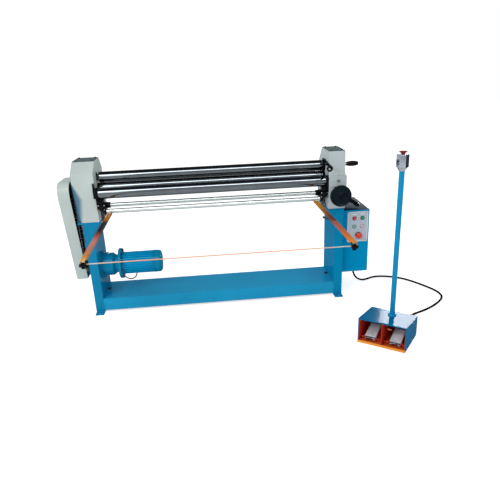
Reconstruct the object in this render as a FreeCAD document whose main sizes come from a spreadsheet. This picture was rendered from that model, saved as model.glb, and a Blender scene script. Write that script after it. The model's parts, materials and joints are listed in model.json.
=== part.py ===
import FreeCAD, Part
import math
import os
import Sketcher

# Electric slip roll machine: three forming rolls between two housings on a welded stand,
# a chain drive from a gear-motor, a trip-wire guard and a loose foot control station.
# Frame: X along the rolls, Y from front to back, Z up; the origin is on the floor in the
# middle of the four anchor holes.  All lengths are millimetres and all angles degrees.

Vector = FreeCAD.Vector
Rotation = FreeCAD.Rotation
document = FreeCAD.newDocument("SlipRoll")

SIZES = {
    # stand
    "bed_gap": 1330,            # between the inner faces of the two housings
    "left_width": 124,          # left housing along X
    "right_width": 97,          # right housing along X
    "post_inset": 46,           # post inner face outside the housing inner face
    "post_width": 51,
    "stand_depth": 277,
    "post_height": 568,         # floor to the seat of a housing
    "post_wall": 6,
    "seat_plate": 10,           # plate that carries a housing
    "gusset_drop": 63,
    "beam_top": 88,
    "beam_clear": 12,           # under the beam's skirts
    "beam_wall": 4,
    "foot_reach": 42,
    "foot_plate": 6,
    "anchor_reach": 160,        # anchor hole from the middle of the stand
    "anchor_bore": 14,
    "bolt_in": 15,              # bolt from the beam's end
    "bolt_back": 16,
    "bolt_head": 19.6,          # across the corners
    "bolt_height": 7,
    "washer_size": 20,
    "washer_sheet": 2,
    # housings
    "housing_top": 900,
    "wall": 12,
    "shell": 10,
    "left_front_top": 55.5,
    "left_back_top": 89.5,
    "left_kink": 840,
    "edge_cut": 27,
    "edge_cut_top": 798,
    "right_front_top": 143.5,
    "right_front": 157.5,
    "right_step_top": 790,
    "right_step_foot": 762,
    "right_back_top": 35.5,
    "right_back_kink": 785,
    "cap_inset": 3,
    "cap_plate": 4,
    "cover_block_width": 89,
    "cover_block_height": 62,
    "cover_block_mid": 730,
    "cover_block_lift": 7,
    # rolls
    "roll_bore_gap": 1,         # sheet gap between the two pinch rolls
    "roll_size": 62,
    "roll_end_gap": 13,         # housing inner face to roll end
    "lower_roll_height": 743.5,
    "pinch_back": 36.5,         # pinch rolls in front of the stand's middle
    "front_roll_out": 119.5,    # bending roll in front of the stand's middle
    "front_roll_height": 728,
    "neck": 40,
    "gear_seat": 32,
    "drive_neck": 30,
    "pivot_neck": 26,
    "front_neck": 30,
    "running_gap": 0.05,        # radial clearance of every shaft in its bore
    "loose_gap": 0.5,           # between sliding or swinging castings
    "bush_size": 50,
    "plate_size": 60,
    "groove_pitch": 11,
    # roll gears
    "gear_teeth": 21,
    "gear_width": 30,
    "gear_in": 35,              # housing inner face to the near face of the gears
    # chain drive
    "chain_pitch": 19.05,
    "roller_size": 12.07,
    "chain_inner": 11.68,
    "link_height": 16,
    "link_plate": 1.85,
    "roll_sprocket_teeth": 14,
    "motor_sprocket_teeth": 10,
    "strand_links": 25,
    "sprocket_width": 11,
    "chain_out": 24,            # left housing outer face to the middle of the chain
    "cover_gap": 11,            # left housing to the chain cover
    "cover_width": 64,
    "cover_top": 801,
    "cover_bend": 715,
    "cover_foot": 198,
    "cover_half_top": 130,
    "cover_half_foot": 44,
    "cover_round": 58,
    "cover_sheet": 2,
    "cover_tab": 34,            # fixing tabs along the housing
    "tab_rim": 6,               # how far a tab reaches into the cover
    "tab_clear": 6.5,           # between the pivot ball and the top tab
    "foot_tab": 14,
    "foot_tab_rise": 44,        # motor axis to the foot tab
    # gear-motor
    "motor_back": 18,           # motor axis in front of the stand's middle
    "output_size": 28,
    "gearbox_size": 138,
    "gearbox_length": 71,
    "gearbox_foot": 165,
    "motor_flange": 185,
    "motor_size": 137,
    "motor_core": 118,
    "motor_start": 124,         # post inner face to the finned barrel
    "motor_length": 196,
    "fan_length": 44,
    "fan_round": 20,
    "fin_count": 28,
    "fin_width": 4,
    "terminal_in": 45,
    "terminal_length": 90,
    "terminal_half": 35,
    "terminal_flat": 55,        # motor axis to the box's seat on the barrel
    "terminal_out": 110,
    "lead_back": 90,            # motor axis to the lead
    # upper roll pivot, carrier and clamp
    "ball_size": 52,
    "ball_gap": 0.3,
    "carrier_plate": 10,
    "carrier_top": 845,
    "lever_reach": 210.5,       # roll axis to the middle of the eye
    "eye_rise": 14.5,           # roll axis to the middle of the eye
    "eye_ring": 12.4,
    "eye_wire": 5.4,
    "clamp_size": 20,
    "grip_size": 31,
    "grip_length": 72,
    "grip_gap": 35,
    # bending roll slides and their drive
    "slide_half": 38,
    "slide_top": 757,
    "slide_foot": 671,
    "foot_top": 694,
    "foot_half": 22,
    "foot_in": 37,
    "tongue_half": 24,
    "tongue_length": 13,
    "roll_travel": 34,
    "screw_size": 20,
    "screw_in": 20,
    "eye_drop": 51,             # gear box foot to the middle of the right screw's eye
    "screw_eye": 11,
    "screw_eye_wire": 3.8,
    "square_size": 14,
    "square_length": 16,
    "box_top": 668.8,
    "box_foot": 634,
    "box_length": 47,
    "box_front": 146,
    "box_back": 75,
    "ear_width": 11,
    "cross_size": 24,
    "cross_out": 89.5,
    "cross_height": 653,
    "collar_length": 18,
    # hand crank
    "crank_in": 59,             # right housing inner face to the crank shaft
    "crank_size": 20,
    "miter_teeth": 18,
    "miter_module": 2,
    "miter_face": 9,
    "disc_size": 125,
    "disc_width": 16,
    "disc_out": 41.5,           # right housing front to the back of the disc
    "crank_right": 75,
    "crank_drop": 37,
    "crank_handle": 76,
    # trip-wire guard
    "guard_out": 135,
    "guard_height": 628,
    "guard_bar": 26,
    "guard_neck": 16,
    "arm_in": 68,               # housing inner face to the middle of an arm
    "arm_width": 22,
    "arm_height": 14,
    "arm_sheet": 2.5,
    "arm_length": 773,
    "arm_droop": 0.8,
    "lobe_start": 150,          # cam plate under the right arm
    "lobe_long": 180,
    "lobe_drop": 13,
    "arm_heel": 16,             # arm behind the guard bar
    "arm_seat": 4,              # how deep the guard bar sits in an arm
    "arm_skew": 9,              # both arms run this far to the right from heel to front
    "wire_size": 5,
    "wire_drop": 4,             # under the arms
    "jaw_sheet": 3.5,
    "clamp_deep": 28,
    "clamp_tall": 12,
    "switch_width": 14,
    "switch_tall": 44,
    "switch_deep": 28,
    "switch_gap": 0.5,          # behind the gusset
    "lever_axle": 8,
    "lever_clear": 1,           # gusset foot to the lever's axle
    "lever_out": 7.5,           # how far the lever stands in front of the post
    "lever_sheet": 4,
    "lever_rise": 23,           # lever axle to its roller
    "lever_roller_in": 71,      # post inner face to the roller
    "lever_roller": 13,
    # control box
    "box_wide": 172,
    "box_near": 100.5,
    "box_far": 230.5,
    "box_low": 136,
    "box_high": 534,
    "box_sheet": 2,
    "panel_wide": 130,
    "panel_tall": 192,
    "panel_right": 7,
    "panel_high": 9,
    "button_size": 20,
    "stop_size": 40,
    "stop_stem": 16,
    "button_pitch": 50,
    # foot station
    "station_x": 850,
    "station_y": -726,
    "station_turn": -37.3,
    "station_wide": 249,
    "station_deep": 209,
    "station_tall": 137,        # at its open front
    "station_back": 112,        # at its back
    "station_sheet": 2,
    "tray_sheet": 3,
    "tray_lip": 12,
    "pedal_wide": 57,
    "pedal_long": 98,
    "pedal_tilt": 18.4,
    "pedal_sheet": 4,
    "pedal_offset": 65,         # station middle to a pedal's middle
    "pin_height": 24,
    "pin_front": 78,            # pedal pin in front of the station's middle
    "pin_size": 8,
    "tube_side": 9,             # station middle to the tube
    "tube_back": 34,
    "tube_size": 26,
    "tube_wall": 2,
    "flange_reach": 9,
    "flange_sheet": 6,
    "tube_top": 878,
    "head_size": 58,            # across the corners
    "head_tall": 77,
    "head_turn": 15.8,          # a corner, from the station's width
    "head_neck": 32,
    "head_foot": 16,            # neck and slope under the head's flats
    "knob_size": 38,
    "knob_stem": 16,
    "knob_tall": 12,
    "cable_size": 12,
    "cable_x": 887,
    "cable_y": 53,
    "gland_side": 20,           # station middle to its gland
    "gland_height": 30,
    "lead_size": 7,
}


class Size:
    """A length that carries both its value and the sheet formula it comes from."""

    def __init__(self, value, formula=None):
        self.value = float(value)
        self.formula = formula if formula is not None else repr(self.value)

    def _join(self, other, sign, value):
        return Size(value, f"({self.formula} {sign} {size(other).formula})")

    def __add__(self, other):
        return self._join(other, "+", self.value + size(other).value)

    def __sub__(self, other):
        return self._join(other, "-", self.value - size(other).value)

    def __mul__(self, other):
        return self._join(other, "*", self.value * size(other).value)

    def __truediv__(self, other):
        return self._join(other, "/", self.value / size(other).value)

    def __radd__(self, other):
        return size(other) + self

    def __rsub__(self, other):
        return size(other) - self

    def __rmul__(self, other):
        return size(other) * self

    def __neg__(self):
        return Size(-self.value, f"(-1 * {self.formula})")

    def __float__(self):
        return self.value


def size(number):
    """Give a plain number the form of a size."""
    return number if isinstance(number, Size) else Size(number)


def root(square):
    """Square root of a size."""
    return Size(math.sqrt(square.value), f"sqrt({square.formula})")


class SizeSheet:
    """The document's spreadsheet, with each alias readable as an attribute."""

    def __init__(self, values):
        sheet = document.addObject("Spreadsheet::Sheet", "Sizes")
        for row, (alias, value) in enumerate(values.items(), 1):
            sheet.set(f"A{row}", alias)
            sheet.set(f"B{row}", str(value))
            sheet.setAlias(f"B{row}", alias)
            setattr(self, alias, Size(value, f"Sizes.{alias}"))


S = SizeSheet(SIZES)
document.recompute()

# ---------------------------------------------------------------- shared places
inner = S.bed_gap / 2                       # |X| of both housing inner faces
left_outer = inner + S.left_width
right_outer = inner + S.right_width
post_in = inner + S.post_inset
post_out = post_in + S.post_width
half_depth = S.stand_depth / 2
roll_half = inner - S.roll_end_gap
pinch_y = -S.pinch_back
lower_z = S.lower_roll_height
upper_z = lower_z + S.roll_size + S.roll_bore_gap
front_y = -S.front_roll_out
front_z = S.front_roll_height
gear_near = inner + S.gear_in
gear_far = gear_near + S.gear_width
chain_x = -(left_outer + S.chain_out)
cross_y = -S.cross_out
cross_z = S.cross_height
crank_x = inner + S.crank_in
screw_x = inner - S.screw_in
guard_y = -S.guard_out
guard_z = S.guard_height
motor_y = -S.motor_back


def pitch_radius(teeth):
    """Radius of the circle that a chain's pins follow on a sprocket."""
    return S.chain_pitch / 2 * Size(1 / math.sin(math.pi / teeth.value), f"(1 / sin(180 / {teeth.formula}))")


roll_pitch = pitch_radius(S.roll_sprocket_teeth)
motor_pitch = pitch_radius(S.motor_sprocket_teeth)
strand = S.strand_links * S.chain_pitch
shaft_distance = root(strand * strand - (roll_pitch - motor_pitch) * (roll_pitch - motor_pitch))
motor_offset = motor_y - pinch_y
motor_z = lower_z - root(shaft_distance * shaft_distance - motor_offset * motor_offset)


# ---------------------------------------------------------------- building helpers
def bind(item, **places):
    """Tie properties to sheet formulas; a double underscore stands for a dot."""
    for path, length in places.items():
        item.setExpression(path.replace("__", "."), size(length).formula)


def put(item, x, y, z):
    """Tie the place of an item to three sizes."""
    bind(item, Placement__Base__x=x, Placement__Base__y=y, Placement__Base__z=z)


def box(name, x, y, z):
    """A block between two sizes along each axis."""
    item = document.addObject("Part::Box", name)
    bind(item, Length=x[1] - x[0], Width=y[1] - y[0], Height=z[1] - z[0])
    put(item, x[0], y[0], z[0])
    return item


TURNS = {
    "X": Rotation(Vector(0, 1, 0), 90),
    "Y": Rotation(Vector(1, 0, 0), -90),
    "Z": Rotation(),
}


def rod(name, axis, start, length, radius):
    """A cylinder from a start point along a positive axis."""
    item = document.addObject("Part::Cylinder", name)
    item.Placement.Rotation = TURNS[axis]
    bind(item, Radius=radius, Height=length)
    put(item, *start)
    return item


def ring(name, centre, middle, wire, turn=None):
    """A torus about Z, or about the Z axis turned by a rotation."""
    item = document.addObject("Part::Torus", name)
    if turn is not None:
        item.Placement.Rotation = turn
    bind(item, Radius1=middle, Radius2=wire)
    put(item, *centre)
    return item


def fuse(name, *shapes):
    """One solid from several that meet."""
    item = document.addObject("Part::MultiFuse", name)
    item.Shapes = list(shapes)
    item.Refine = True
    return item


def group(name, *shapes):
    """Separate solids kept together in one node."""
    item = document.addObject("Part::Compound", name)
    item.Links = list(shapes)
    return item


def cut(name, base, *tools):
    """A solid less its tools."""
    tool = tools[0]
    if len(tools) > 1:
        tool = document.addObject("Part::MultiFuse", f"{name}_tools")
        tool.Shapes = list(tools)
    item = document.addObject("Part::Cut", name)
    item.Base = base
    item.Tool = tool
    item.Refine = True
    return item


def mirror(name, source):
    """The mirror image across the middle of the machine."""
    item = document.addObject("Part::Mirroring", name)
    item.Source = source
    item.Normal = Vector(1, 0, 0)
    return item


def made(name, shape):
    """A sub-part whose shape is worked out from the sheet in code."""
    item = document.addObject("Part::Feature", name)
    item.Shape = shape
    return item


class Body:
    """A PartDesign body made of sketches on its own origin planes."""

    def __init__(self, name, place=(0, 0, 0), turn=None):
        self.body = document.addObject("PartDesign::Body", name)
        if turn is not None:
            self.body.Placement.Rotation = turn
        put(self.body, *place)
        self.planes = {plane.Role: plane for plane in self.body.Origin.OriginFeatures}

    def sketch(self, plane, offset=0):
        """An empty sketch on an origin plane, moved along the plane's normal."""
        item = self.body.newObject("Sketcher::SketchObject", f"{self.body.Name}_sketch")
        item.AttachmentSupport = (self.planes[f"{plane}_Plane"], [""])
        item.MapMode = "FlatFace"
        bind(item, AttachmentOffset__Base__z=offset)
        return item

    def outline(self, plane, points, offset=0):
        """A closed sketch of straight lines whose corners are tied to sizes."""
        item = self.sketch(plane, offset)
        corners = [Vector(float(x), float(y), 0) for x, y in points]
        for start, end in zip(corners, corners[1:] + corners[:1]):
            item.addGeometry(Part.LineSegment(start, end), False)
        count = len(points)
        for index in range(count):
            item.addConstraint(Sketcher.Constraint("Coincident", index, 2, (index + 1) % count, 1))
        for index, point in enumerate(points):
            for kind, value in zip(("DistanceX", "DistanceY"), point):
                number = item.addConstraint(Sketcher.Constraint(kind, -1, 1, index, 1, float(value)))
                item.setExpression(f"Constraints[{number}]", size(value).formula)
        return item

    def circles(self, plane, places, offset=0):
        """A sketch of circles, each given as x, y and radius."""
        item = self.sketch(plane, offset)
        for index, (x, y, radius) in enumerate(places):
            centre = Vector(float(x), float(y), 0)
            item.addGeometry(Part.Circle(centre, Vector(0, 0, 1), float(radius)), False)
            constraints = (
                (Sketcher.Constraint("DistanceX", -1, 1, index, 3, float(x)), x),
                (Sketcher.Constraint("DistanceY", -1, 1, index, 3, float(y)), y),
                (Sketcher.Constraint("Radius", index, float(radius)), radius),
            )
            for constraint, value in constraints:
                number = item.addConstraint(constraint)
                item.setExpression(f"Constraints[{number}]", size(value).formula)
        return item

    def feature(self, kind, sketch):
        """A new feature of this body made from a sketch."""
        item = self.body.newObject(f"PartDesign::{kind}", f"{self.body.Name}_{kind.lower()}")
        item.Profile = sketch
        return item

    def pad(self, sketch, length, back=False):
        item = self.feature("Pad", sketch)
        bind(item, Length=length)
        item.Reversed = back
        return item

    def pocket(self, sketch, length, back=False):
        item = self.feature("Pocket", sketch)
        bind(item, Length=length)
        item.Reversed = back
        return item

    def turned(self, points, kind="Revolution"):
        """Revolve an outline of (along, radius) points about the body's X axis."""
        sketch = self.outline("XY", points)
        item = self.feature(kind, sketch)
        item.ReferenceAxis = (sketch, ["H_Axis"])
        item.Angle = 360
        return item

    def polar(self, feature, count, axis="X"):
        """Repeat a feature evenly about an axis of the body."""
        item = self.body.newObject("PartDesign::PolarPattern", f"{self.body.Name}_pattern")
        item.Originals = [feature]
        item.Axis = (self.planes[f"{axis}_Axis"], [""])
        item.Angle = 360
        bind(item, Occurrences=count)
        self.body.Tip = item
        return item

    def rounded(self, radius, chosen):
        """Fillet the edges of the current shape that a test picks."""
        document.recompute()
        base = self.body.Tip
        names = [f"Edge{number}" for number, edge in enumerate(base.Shape.Edges, 1) if chosen(edge)]
        item = self.body.newObject("PartDesign::Fillet", f"{self.body.Name}_fillet")
        item.Base = (base, names)
        bind(item, Radius=radius)
        return item


def straight_along(axis):
    """Test that picks straight edges along a direction."""
    def test(edge):
        if not isinstance(edge.Curve, Part.Line):
            return False
        return abs(abs(edge.Curve.Direction.dot(axis)) - 1) < 1e-6
    return test


PIECES = {}


def keep(name, item):
    """Name a finished sub-part, which is written to a file of that name."""
    item = item.body if isinstance(item, Body) else item
    item.Label = name
    PIECES[name] = item
    return item


# ---------------------------------------------------------------- stand
def post(name, side, seat_outer, bored):
    """Welded box column with its seat plate, gussets and feet, on one side (-1 or 1)."""
    def span(near, far):
        return (near, far) if side > 0 else (-far, -near)

    seat_low = S.post_height - S.seat_plate
    inset = half_depth - S.post_wall
    column = box(f"{name}_column", span(post_in, post_out), (-half_depth, half_depth), (size(0), seat_low))
    hollow = box(
        f"{name}_hollow",
        span(post_in + S.post_wall, post_out - S.post_wall),
        (-inset, inset),
        (size(-1), seat_low + 1),
    )
    seat = box(f"{name}_seat", span(inner, seat_outer), (-half_depth, half_depth), (seat_low, S.post_height))
    gussets = []
    for end, plate in (("front", -half_depth), ("back", inset)):
        web = Body(f"{name}_{end}_gusset", (0, plate, 0))
        corners = [
            (side * (post_in + 1), seat_low + 1),
            (side * inner, seat_low + 1),
            (side * inner, seat_low - 2),
            (side * (post_in + 1), seat_low - S.gusset_drop),
        ]
        web.pad(web.outline("XZ", corners), S.post_wall, back=True)
        gussets.append(web.body)
    feet = []
    for end, sign in (("front", -1), ("back", 1)):
        low, high = sorted((sign * inset, sign * (half_depth + S.foot_reach)), key=float)
        foot = box(f"{name}_{end}_foot", span(post_in, post_out), (low, high), (size(0), S.foot_plate))
        feet.append(foot)
    holes = [
        rod(
            f"{name}_anchor_{sign}",
            "Z",
            (side * (post_in + S.post_width / 2), sign * S.anchor_reach, -1),
            S.foot_plate + 2,
            S.anchor_bore / 2,
        )
        for sign in (-1, 1)
    ]
    if bored:
        start = side * (post_out + 1)
        place = (start, motor_y, motor_z)
        holes.append(rod(f"{name}_shaft_hole", "X", place, S.post_width + 2, S.output_size))
    tube = cut(f"{name}_tube", column, hollow)
    welded = fuse(f"{name}_weldment", tube, seat, *gussets, *feet)
    keep(name, cut(name, welded, *holes))


def base_beam():
    """Folded channel between the posts, open underneath."""
    outer = box("beam_outer", (-post_in, post_in), (-half_depth, half_depth), (S.beam_clear, S.beam_top))
    end = post_in - S.post_wall
    side = half_depth - S.beam_wall
    inside = box("beam_inside", (-end, end), (-side, side), (S.beam_clear - 1, S.beam_top - S.beam_wall))
    keep("base_beam", cut("base_beam", outer, inside))


def frame_bolts():
    """Hex bolt with its washer on the beam's top, near each end."""
    bolts = []
    for name, side in (("left", -1), ("right", 1)):
        place = (side * (post_in - S.bolt_in), S.bolt_back)
        washer = rod(f"{name}_washer", "Z", (*place, S.beam_top), S.washer_sheet, S.washer_size / 2)
        head = document.addObject("Part::Prism", f"{name}_bolt_head")
        head.Polygon = 6
        bind(head, Circumradius=S.bolt_head / 2, Height=S.bolt_height)
        put(head, *place, S.beam_top + S.washer_sheet)
        bolts.append(fuse(f"{name}_bolt", washer, head))
    keep("frame_bolts", group("frame_bolts", *bolts))


# ---------------------------------------------------------------- housings
def slide_slot(name, side):
    """Tool for the slot that a bending-roll slide's tongue runs in."""
    half = S.tongue_half + S.loose_gap
    x = (inner - 1, inner + S.wall + 1) if side > 0 else (-(inner + S.wall + 1), -(inner - 1))
    low = front_z - S.tongue_half - 1 - S.loose_gap
    high = S.slide_top - 2 + S.roll_travel + 1
    return box(name, x, (front_y - half, front_y + half), (low, high))


def left_housing():
    """Hollow casting over the roll gears, with a long facet on its lower front corner."""
    top = S.housing_top
    foot = S.post_height
    casting = Body("left_casting", (-left_outer, 0, 0))
    profile = [
        (-S.left_front_top, top),
        (-(half_depth - 1), S.left_kink),
        (-(half_depth - 1), foot),
        (half_depth, foot),
        (half_depth, S.left_kink),
        (S.left_back_top, top),
    ]
    casting.pad(casting.outline("YZ", profile), S.left_width)
    cavity = [
        (-(S.left_front_top - 4), top - S.shell),
        (-(half_depth - 1 - S.shell), S.left_kink - 4),
        (-(half_depth - 1 - S.shell), foot - 1),
        (half_depth - S.shell, foot - 1),
        (half_depth - S.shell, S.left_kink - 4),
        (S.left_back_top - 4, top - S.shell),
    ]
    casting.pocket(casting.outline("YZ", cavity, S.wall), S.left_width - S.wall - S.wall, back=True)
    outer_wall = -(left_outer + 1)
    inner_wall = -(inner + S.wall + 1)
    through = S.wall + 2
    slot_half = S.neck / 2 + 3
    tools = [
        rod("left_bush_bore", "X", (inner_wall, pinch_y, lower_z), through, S.bush_size / 2),
        rod("left_outer_bore", "X", (outer_wall, pinch_y, lower_z), through, S.bush_size / 2),
        rod("left_socket_bore", "X", (outer_wall, pinch_y, upper_z), through, S.ball_size / 2 + 5.5),
        rod("left_slot_low", "X", (inner_wall, pinch_y, upper_z), through, slot_half),
        rod("left_slot_high", "X", (inner_wall, pinch_y, upper_z + 9), through, slot_half),
        box(
            "left_slot_mid",
            (inner_wall, inner_wall + through),
            (pinch_y - slot_half, pinch_y + slot_half),
            (upper_z, upper_z + 9),
        ),
        slide_slot("left_slide_slot", -1),
    ]
    corner = Vector(-float(left_outer) - 0.5, -float(half_depth) + 0.5, float(foot) - 0.5)
    reach = float(S.edge_cut)
    facet = corner_cut(corner, reach, float(S.edge_cut_top) - float(foot))
    tools.append(made("left_facet", facet))
    keep("left_housing", cut("left_housing", casting.body, *tools))


def corner_cut(corner, reach, rise):
    """A slim tetrahedron standing on a lower front-left corner."""
    right = corner + Vector(reach, 0, 0)
    back = corner + Vector(0, reach, 0)
    top = corner + Vector(0, 0, rise)
    faces = [
        Part.Face(Part.makePolygon([a, b, c, a]))
        for a, b, c in ((corner, back, right), (corner, right, top), (right, back, top), (back, corner, top))
    ]
    solid = Part.makeSolid(Part.makeShell(faces))
    if solid.Volume < 0:
        solid.reverse()
    return solid


def right_housing():
    """Hollow casting over the crank's bevel gears, with a leaning back."""
    top = S.housing_top
    foot = S.post_height
    casting = Body("right_casting", (inner, 0, 0))
    profile = [
        (-S.right_front_top, top),
        (-S.right_front_top, S.right_step_top),
        (-S.right_front, S.right_step_foot),
        (-S.right_front, foot),
        (half_depth, foot),
        (half_depth, S.right_back_kink),
        (S.right_back_top, top),
    ]
    casting.pad(casting.outline("YZ", profile), S.right_width)
    cavity = [
        (-(S.right_front_top - S.shell), top - S.shell),
        (-(S.right_front_top - S.shell), S.right_step_top - 4),
        (-(S.right_front - S.shell), S.right_step_foot - 4),
        (-(S.right_front - S.shell), foot - 1),
        (half_depth - S.shell, foot - 1),
        (half_depth - S.shell, S.right_back_kink - 4),
        (S.right_back_top - 4, top - S.shell),
    ]
    casting.pocket(casting.outline("YZ", cavity, S.wall), S.right_width - S.wall - S.wall, back=True)
    start = inner - 1
    clamp_bore = S.clamp_size / 2 + S.running_gap
    crank_bore = S.crank_size / 2 + S.running_gap
    tools = [
        rod("right_bush_bore", "X", (start, pinch_y, lower_z), S.wall + 2, S.bush_size / 2),
        rod("right_clamp_bore", "X", (start, pinch_y, upper_z), S.right_width + 2, clamp_bore),
        rod("right_cross_hole", "X", (start, cross_y, cross_z), S.wall + 2, S.cross_size / 2 + 1),
        rod("right_crank_bore", "Y", (crank_x, -S.right_front - 1, cross_z), S.shell + 2, crank_bore),
        slide_slot("right_slide_slot", 1),
    ]
    keep("right_housing", cut("right_housing", casting.body, *tools))


def housing_caps():
    """Dark plates on the tops of both housings."""
    inset = S.cap_inset
    z = (S.housing_top, S.housing_top + S.cap_plate)
    left = box(
        "left_cap",
        (-(left_outer - inset), -(inner + inset)),
        (-(S.left_front_top - inset), S.left_back_top - inset),
        z,
    )
    right = box(
        "right_cap",
        (inner + inset, right_outer - inset),
        (-(S.right_front_top - inset), S.right_back_top - inset),
        z,
    )
    keep("housing_caps", group("housing_caps", left, right))


def screw_cover():
    """Raised cover that wraps the right housing's outer front edge, with its screw."""
    low = S.cover_block_mid - S.cover_block_height / 2
    high = S.cover_block_mid + S.cover_block_height / 2
    right = right_outer + S.cover_block_lift - 1
    block = box(
        "cover_block",
        (right - S.cover_block_width, right),
        (-S.right_front - S.cover_block_lift, -(S.right_front - 50)),
        (low, high),
    )
    room = box("cover_room", (inner, right_outer), (-S.right_front, S.right_front), (low - 1, high + 1))
    cover = cut("cover_shell", block, room)
    screw = rod(
        "cover_screw",
        "Y",
        (right_outer - 43, -S.right_front - S.cover_block_lift - 5, S.cover_block_mid + 2),
        5,
        6,
    )
    keep("screw_cover", group("screw_cover", cover, screw))


# ---------------------------------------------------------------- rolls
def turned_part(name, place, points):
    """A lathe-turned piece along X, with points given as (X, radius) from its place."""
    piece = Body(name, place)
    piece.turned(points)
    return piece


def lower_roll():
    """Driven roll: gear seat and sprocket neck on the left, wire grooves near the right end."""
    neck = S.neck / 2
    seat = S.gear_seat / 2
    drive = S.drive_neck / 2
    bed = S.roll_size / 2
    seat_start = -(gear_near - 3)
    seat_end = -(gear_far + 3)
    points = [
        (chain_x - S.sprocket_width, 0),
        (chain_x - S.sprocket_width, drive),
        (seat_end, drive),
        (seat_end, seat),
        (seat_start, seat),
        (seat_start, neck),
        (-roll_half, neck),
        (-roll_half, bed - 1),
        (-roll_half + 1, bed),
        (roll_half - 1, bed),
        (roll_half, bed - 1),
        (roll_half, neck),
        (inner + S.wall + 13, neck),
        (inner + S.wall + 13, 0),
    ]
    roll = turned_part("lower_roll", (0, pinch_y, lower_z), points)
    grooves = [(roll_half - 6 - S.groove_pitch * step, bed, size(1.5) + 0.5 * step) for step in range(4)]
    sketch = roll.circles("XY", grooves)
    groove = roll.feature("Groove", sketch)
    groove.ReferenceAxis = (sketch, ["H_Axis"])
    groove.Angle = 360
    keep("lower_roll", roll)


def upper_roll():
    """Slip-off roll: gear seat, then the long neck that turns in the pivot ball."""
    neck = S.neck / 2
    seat = S.gear_seat / 2
    pivot = S.pivot_neck / 2
    bed = S.roll_size / 2
    seat_start = -(gear_near - 3)
    seat_end = -(gear_far + 3)
    points = [
        (-(left_outer + 5), 0),
        (-(left_outer + 5), pivot),
        (seat_end, pivot),
        (seat_end, seat),
        (seat_start, seat),
        (seat_start, neck),
        (-roll_half, neck),
        (-roll_half, bed - 1),
        (-roll_half + 1, bed),
        (roll_half - 1, bed),
        (roll_half, bed - 1),
        (roll_half, S.front_neck / 2),
        (roll_half + 1.5 + S.carrier_plate - 1, S.front_neck / 2),
        (roll_half + 1.5 + S.carrier_plate - 1, 0),
    ]
    keep("upper_roll", turned_part("upper_roll", (0, pinch_y, upper_z), points))


def front_roll():
    """Bending roll with plain necks that turn in the slides."""
    neck = S.front_neck / 2
    bed = S.roll_size / 2
    end = inner - 1.5 + S.tongue_length - 2
    points = [
        (-end, 0),
        (-end, neck),
        (-roll_half, neck),
        (-roll_half, bed - 1),
        (-roll_half + 1, bed),
        (roll_half - 1, bed),
        (roll_half, bed - 1),
        (roll_half, neck),
        (end, neck),
        (end, 0),
    ]
    keep("front_roll", turned_part("front_roll", (0, front_y, front_z), points))


def sleeve(name, start, length, centre, outer, bore):
    """A plain ring along X."""
    y, z = centre
    body = rod(f"{name}_body", "X", (start, y, z), length, outer)
    hole = rod(f"{name}_hole", "X", (start - 1, y, z), length + 2, bore)
    return cut(name, body, hole)


def roll_bushes():
    """Bronze bushes of the driven roll in both housings."""
    centre = (pinch_y, lower_z)
    outer = S.bush_size / 2 - S.running_gap
    neck = S.neck / 2 + S.running_gap
    drive = S.drive_neck / 2 + S.running_gap
    length = S.wall + 10
    keep("roll_bushes", group(
        "roll_bushes",
        sleeve("right_bush", inner, length, centre, outer, neck),
        sleeve("left_bush", -(inner + length), length, centre, outer, neck),
        sleeve("outer_bush", -left_outer, S.wall, centre, outer, drive),
    ))


def bearing_plates():
    """Black thrust plates between the driven roll's ends and the housings."""
    centre = (pinch_y, lower_z)
    start = roll_half + 1.5
    length = inner - start
    bore = S.neck / 2 + S.loose_gap
    keep("bearing_plates", group(
        "bearing_plates",
        sleeve("right_plate", start, length, centre, S.plate_size / 2, bore),
        sleeve("left_plate", -inner, length, centre, S.plate_size / 2, bore),
    ))


# ---------------------------------------------------------------- roll gears
def spur_gear(name, centre, bore):
    """Involute gear on a roll, with a gap at its foot and, the count being odd, a tooth on top."""
    y, z = centre
    teeth = S.gear_teeth.value
    pitch = (S.roll_size + S.roll_bore_gap) / 2
    module = 2 * pitch / S.gear_teeth
    tip = pitch + module * 0.95
    gear = Body(name, (-gear_far, y, z))
    gear.pad(gear.circles("YZ", [(0, 0, tip)]), S.gear_width)
    space = gear.feature("Pocket", tooth_space(gear, pitch.value, module.value, teeth))
    bind(space, Length=S.gear_width)
    space.Reversed = True
    gear.polar(space, S.gear_teeth)
    hole = gear.pocket(gear.circles("YZ", [(0, 0, bore)]), S.gear_width, back=True)
    gear.body.Tip = hole
    return gear


def tooth_space(gear, pitch, module, teeth):
    """Sketch of the gap between two involute teeth, centred on the local -Z direction."""
    pressure = math.radians(20)
    base = pitch * math.cos(pressure)
    backlash = 0.12
    half_gap = math.pi / (2 * teeth) + backlash / pitch
    involute = math.tan(pressure) - pressure

    def flank(radius, side):
        if radius > base:
            angle = math.acos(base / radius)
            spread = math.tan(angle) - angle
        else:
            spread = 0.0
        turn = side * (half_gap - involute + spread) - math.pi / 2
        return Vector(radius * math.cos(turn), radius * math.sin(turn), 0)

    low = pitch - 1.2 * module
    radii = (base, pitch, pitch + 1.6 * module)
    left = [flank(radius, -1) for radius in radii]
    right = [flank(radius, 1) for radius in radii]
    left_root = flank(low, -1)
    right_root = flank(low, 1)
    sketch = gear.sketch("YZ")
    sketch.addGeometry(Part.Arc(*left), False)
    sketch.addGeometry(Part.LineSegment(left[0], left_root), False)
    sketch.addGeometry(Part.LineSegment(left_root, right_root), False)
    sketch.addGeometry(Part.LineSegment(right_root, right[0]), False)
    sketch.addGeometry(Part.Arc(*right), False)
    sketch.addGeometry(Part.LineSegment(right[2], left[2]), False)
    return sketch


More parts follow.
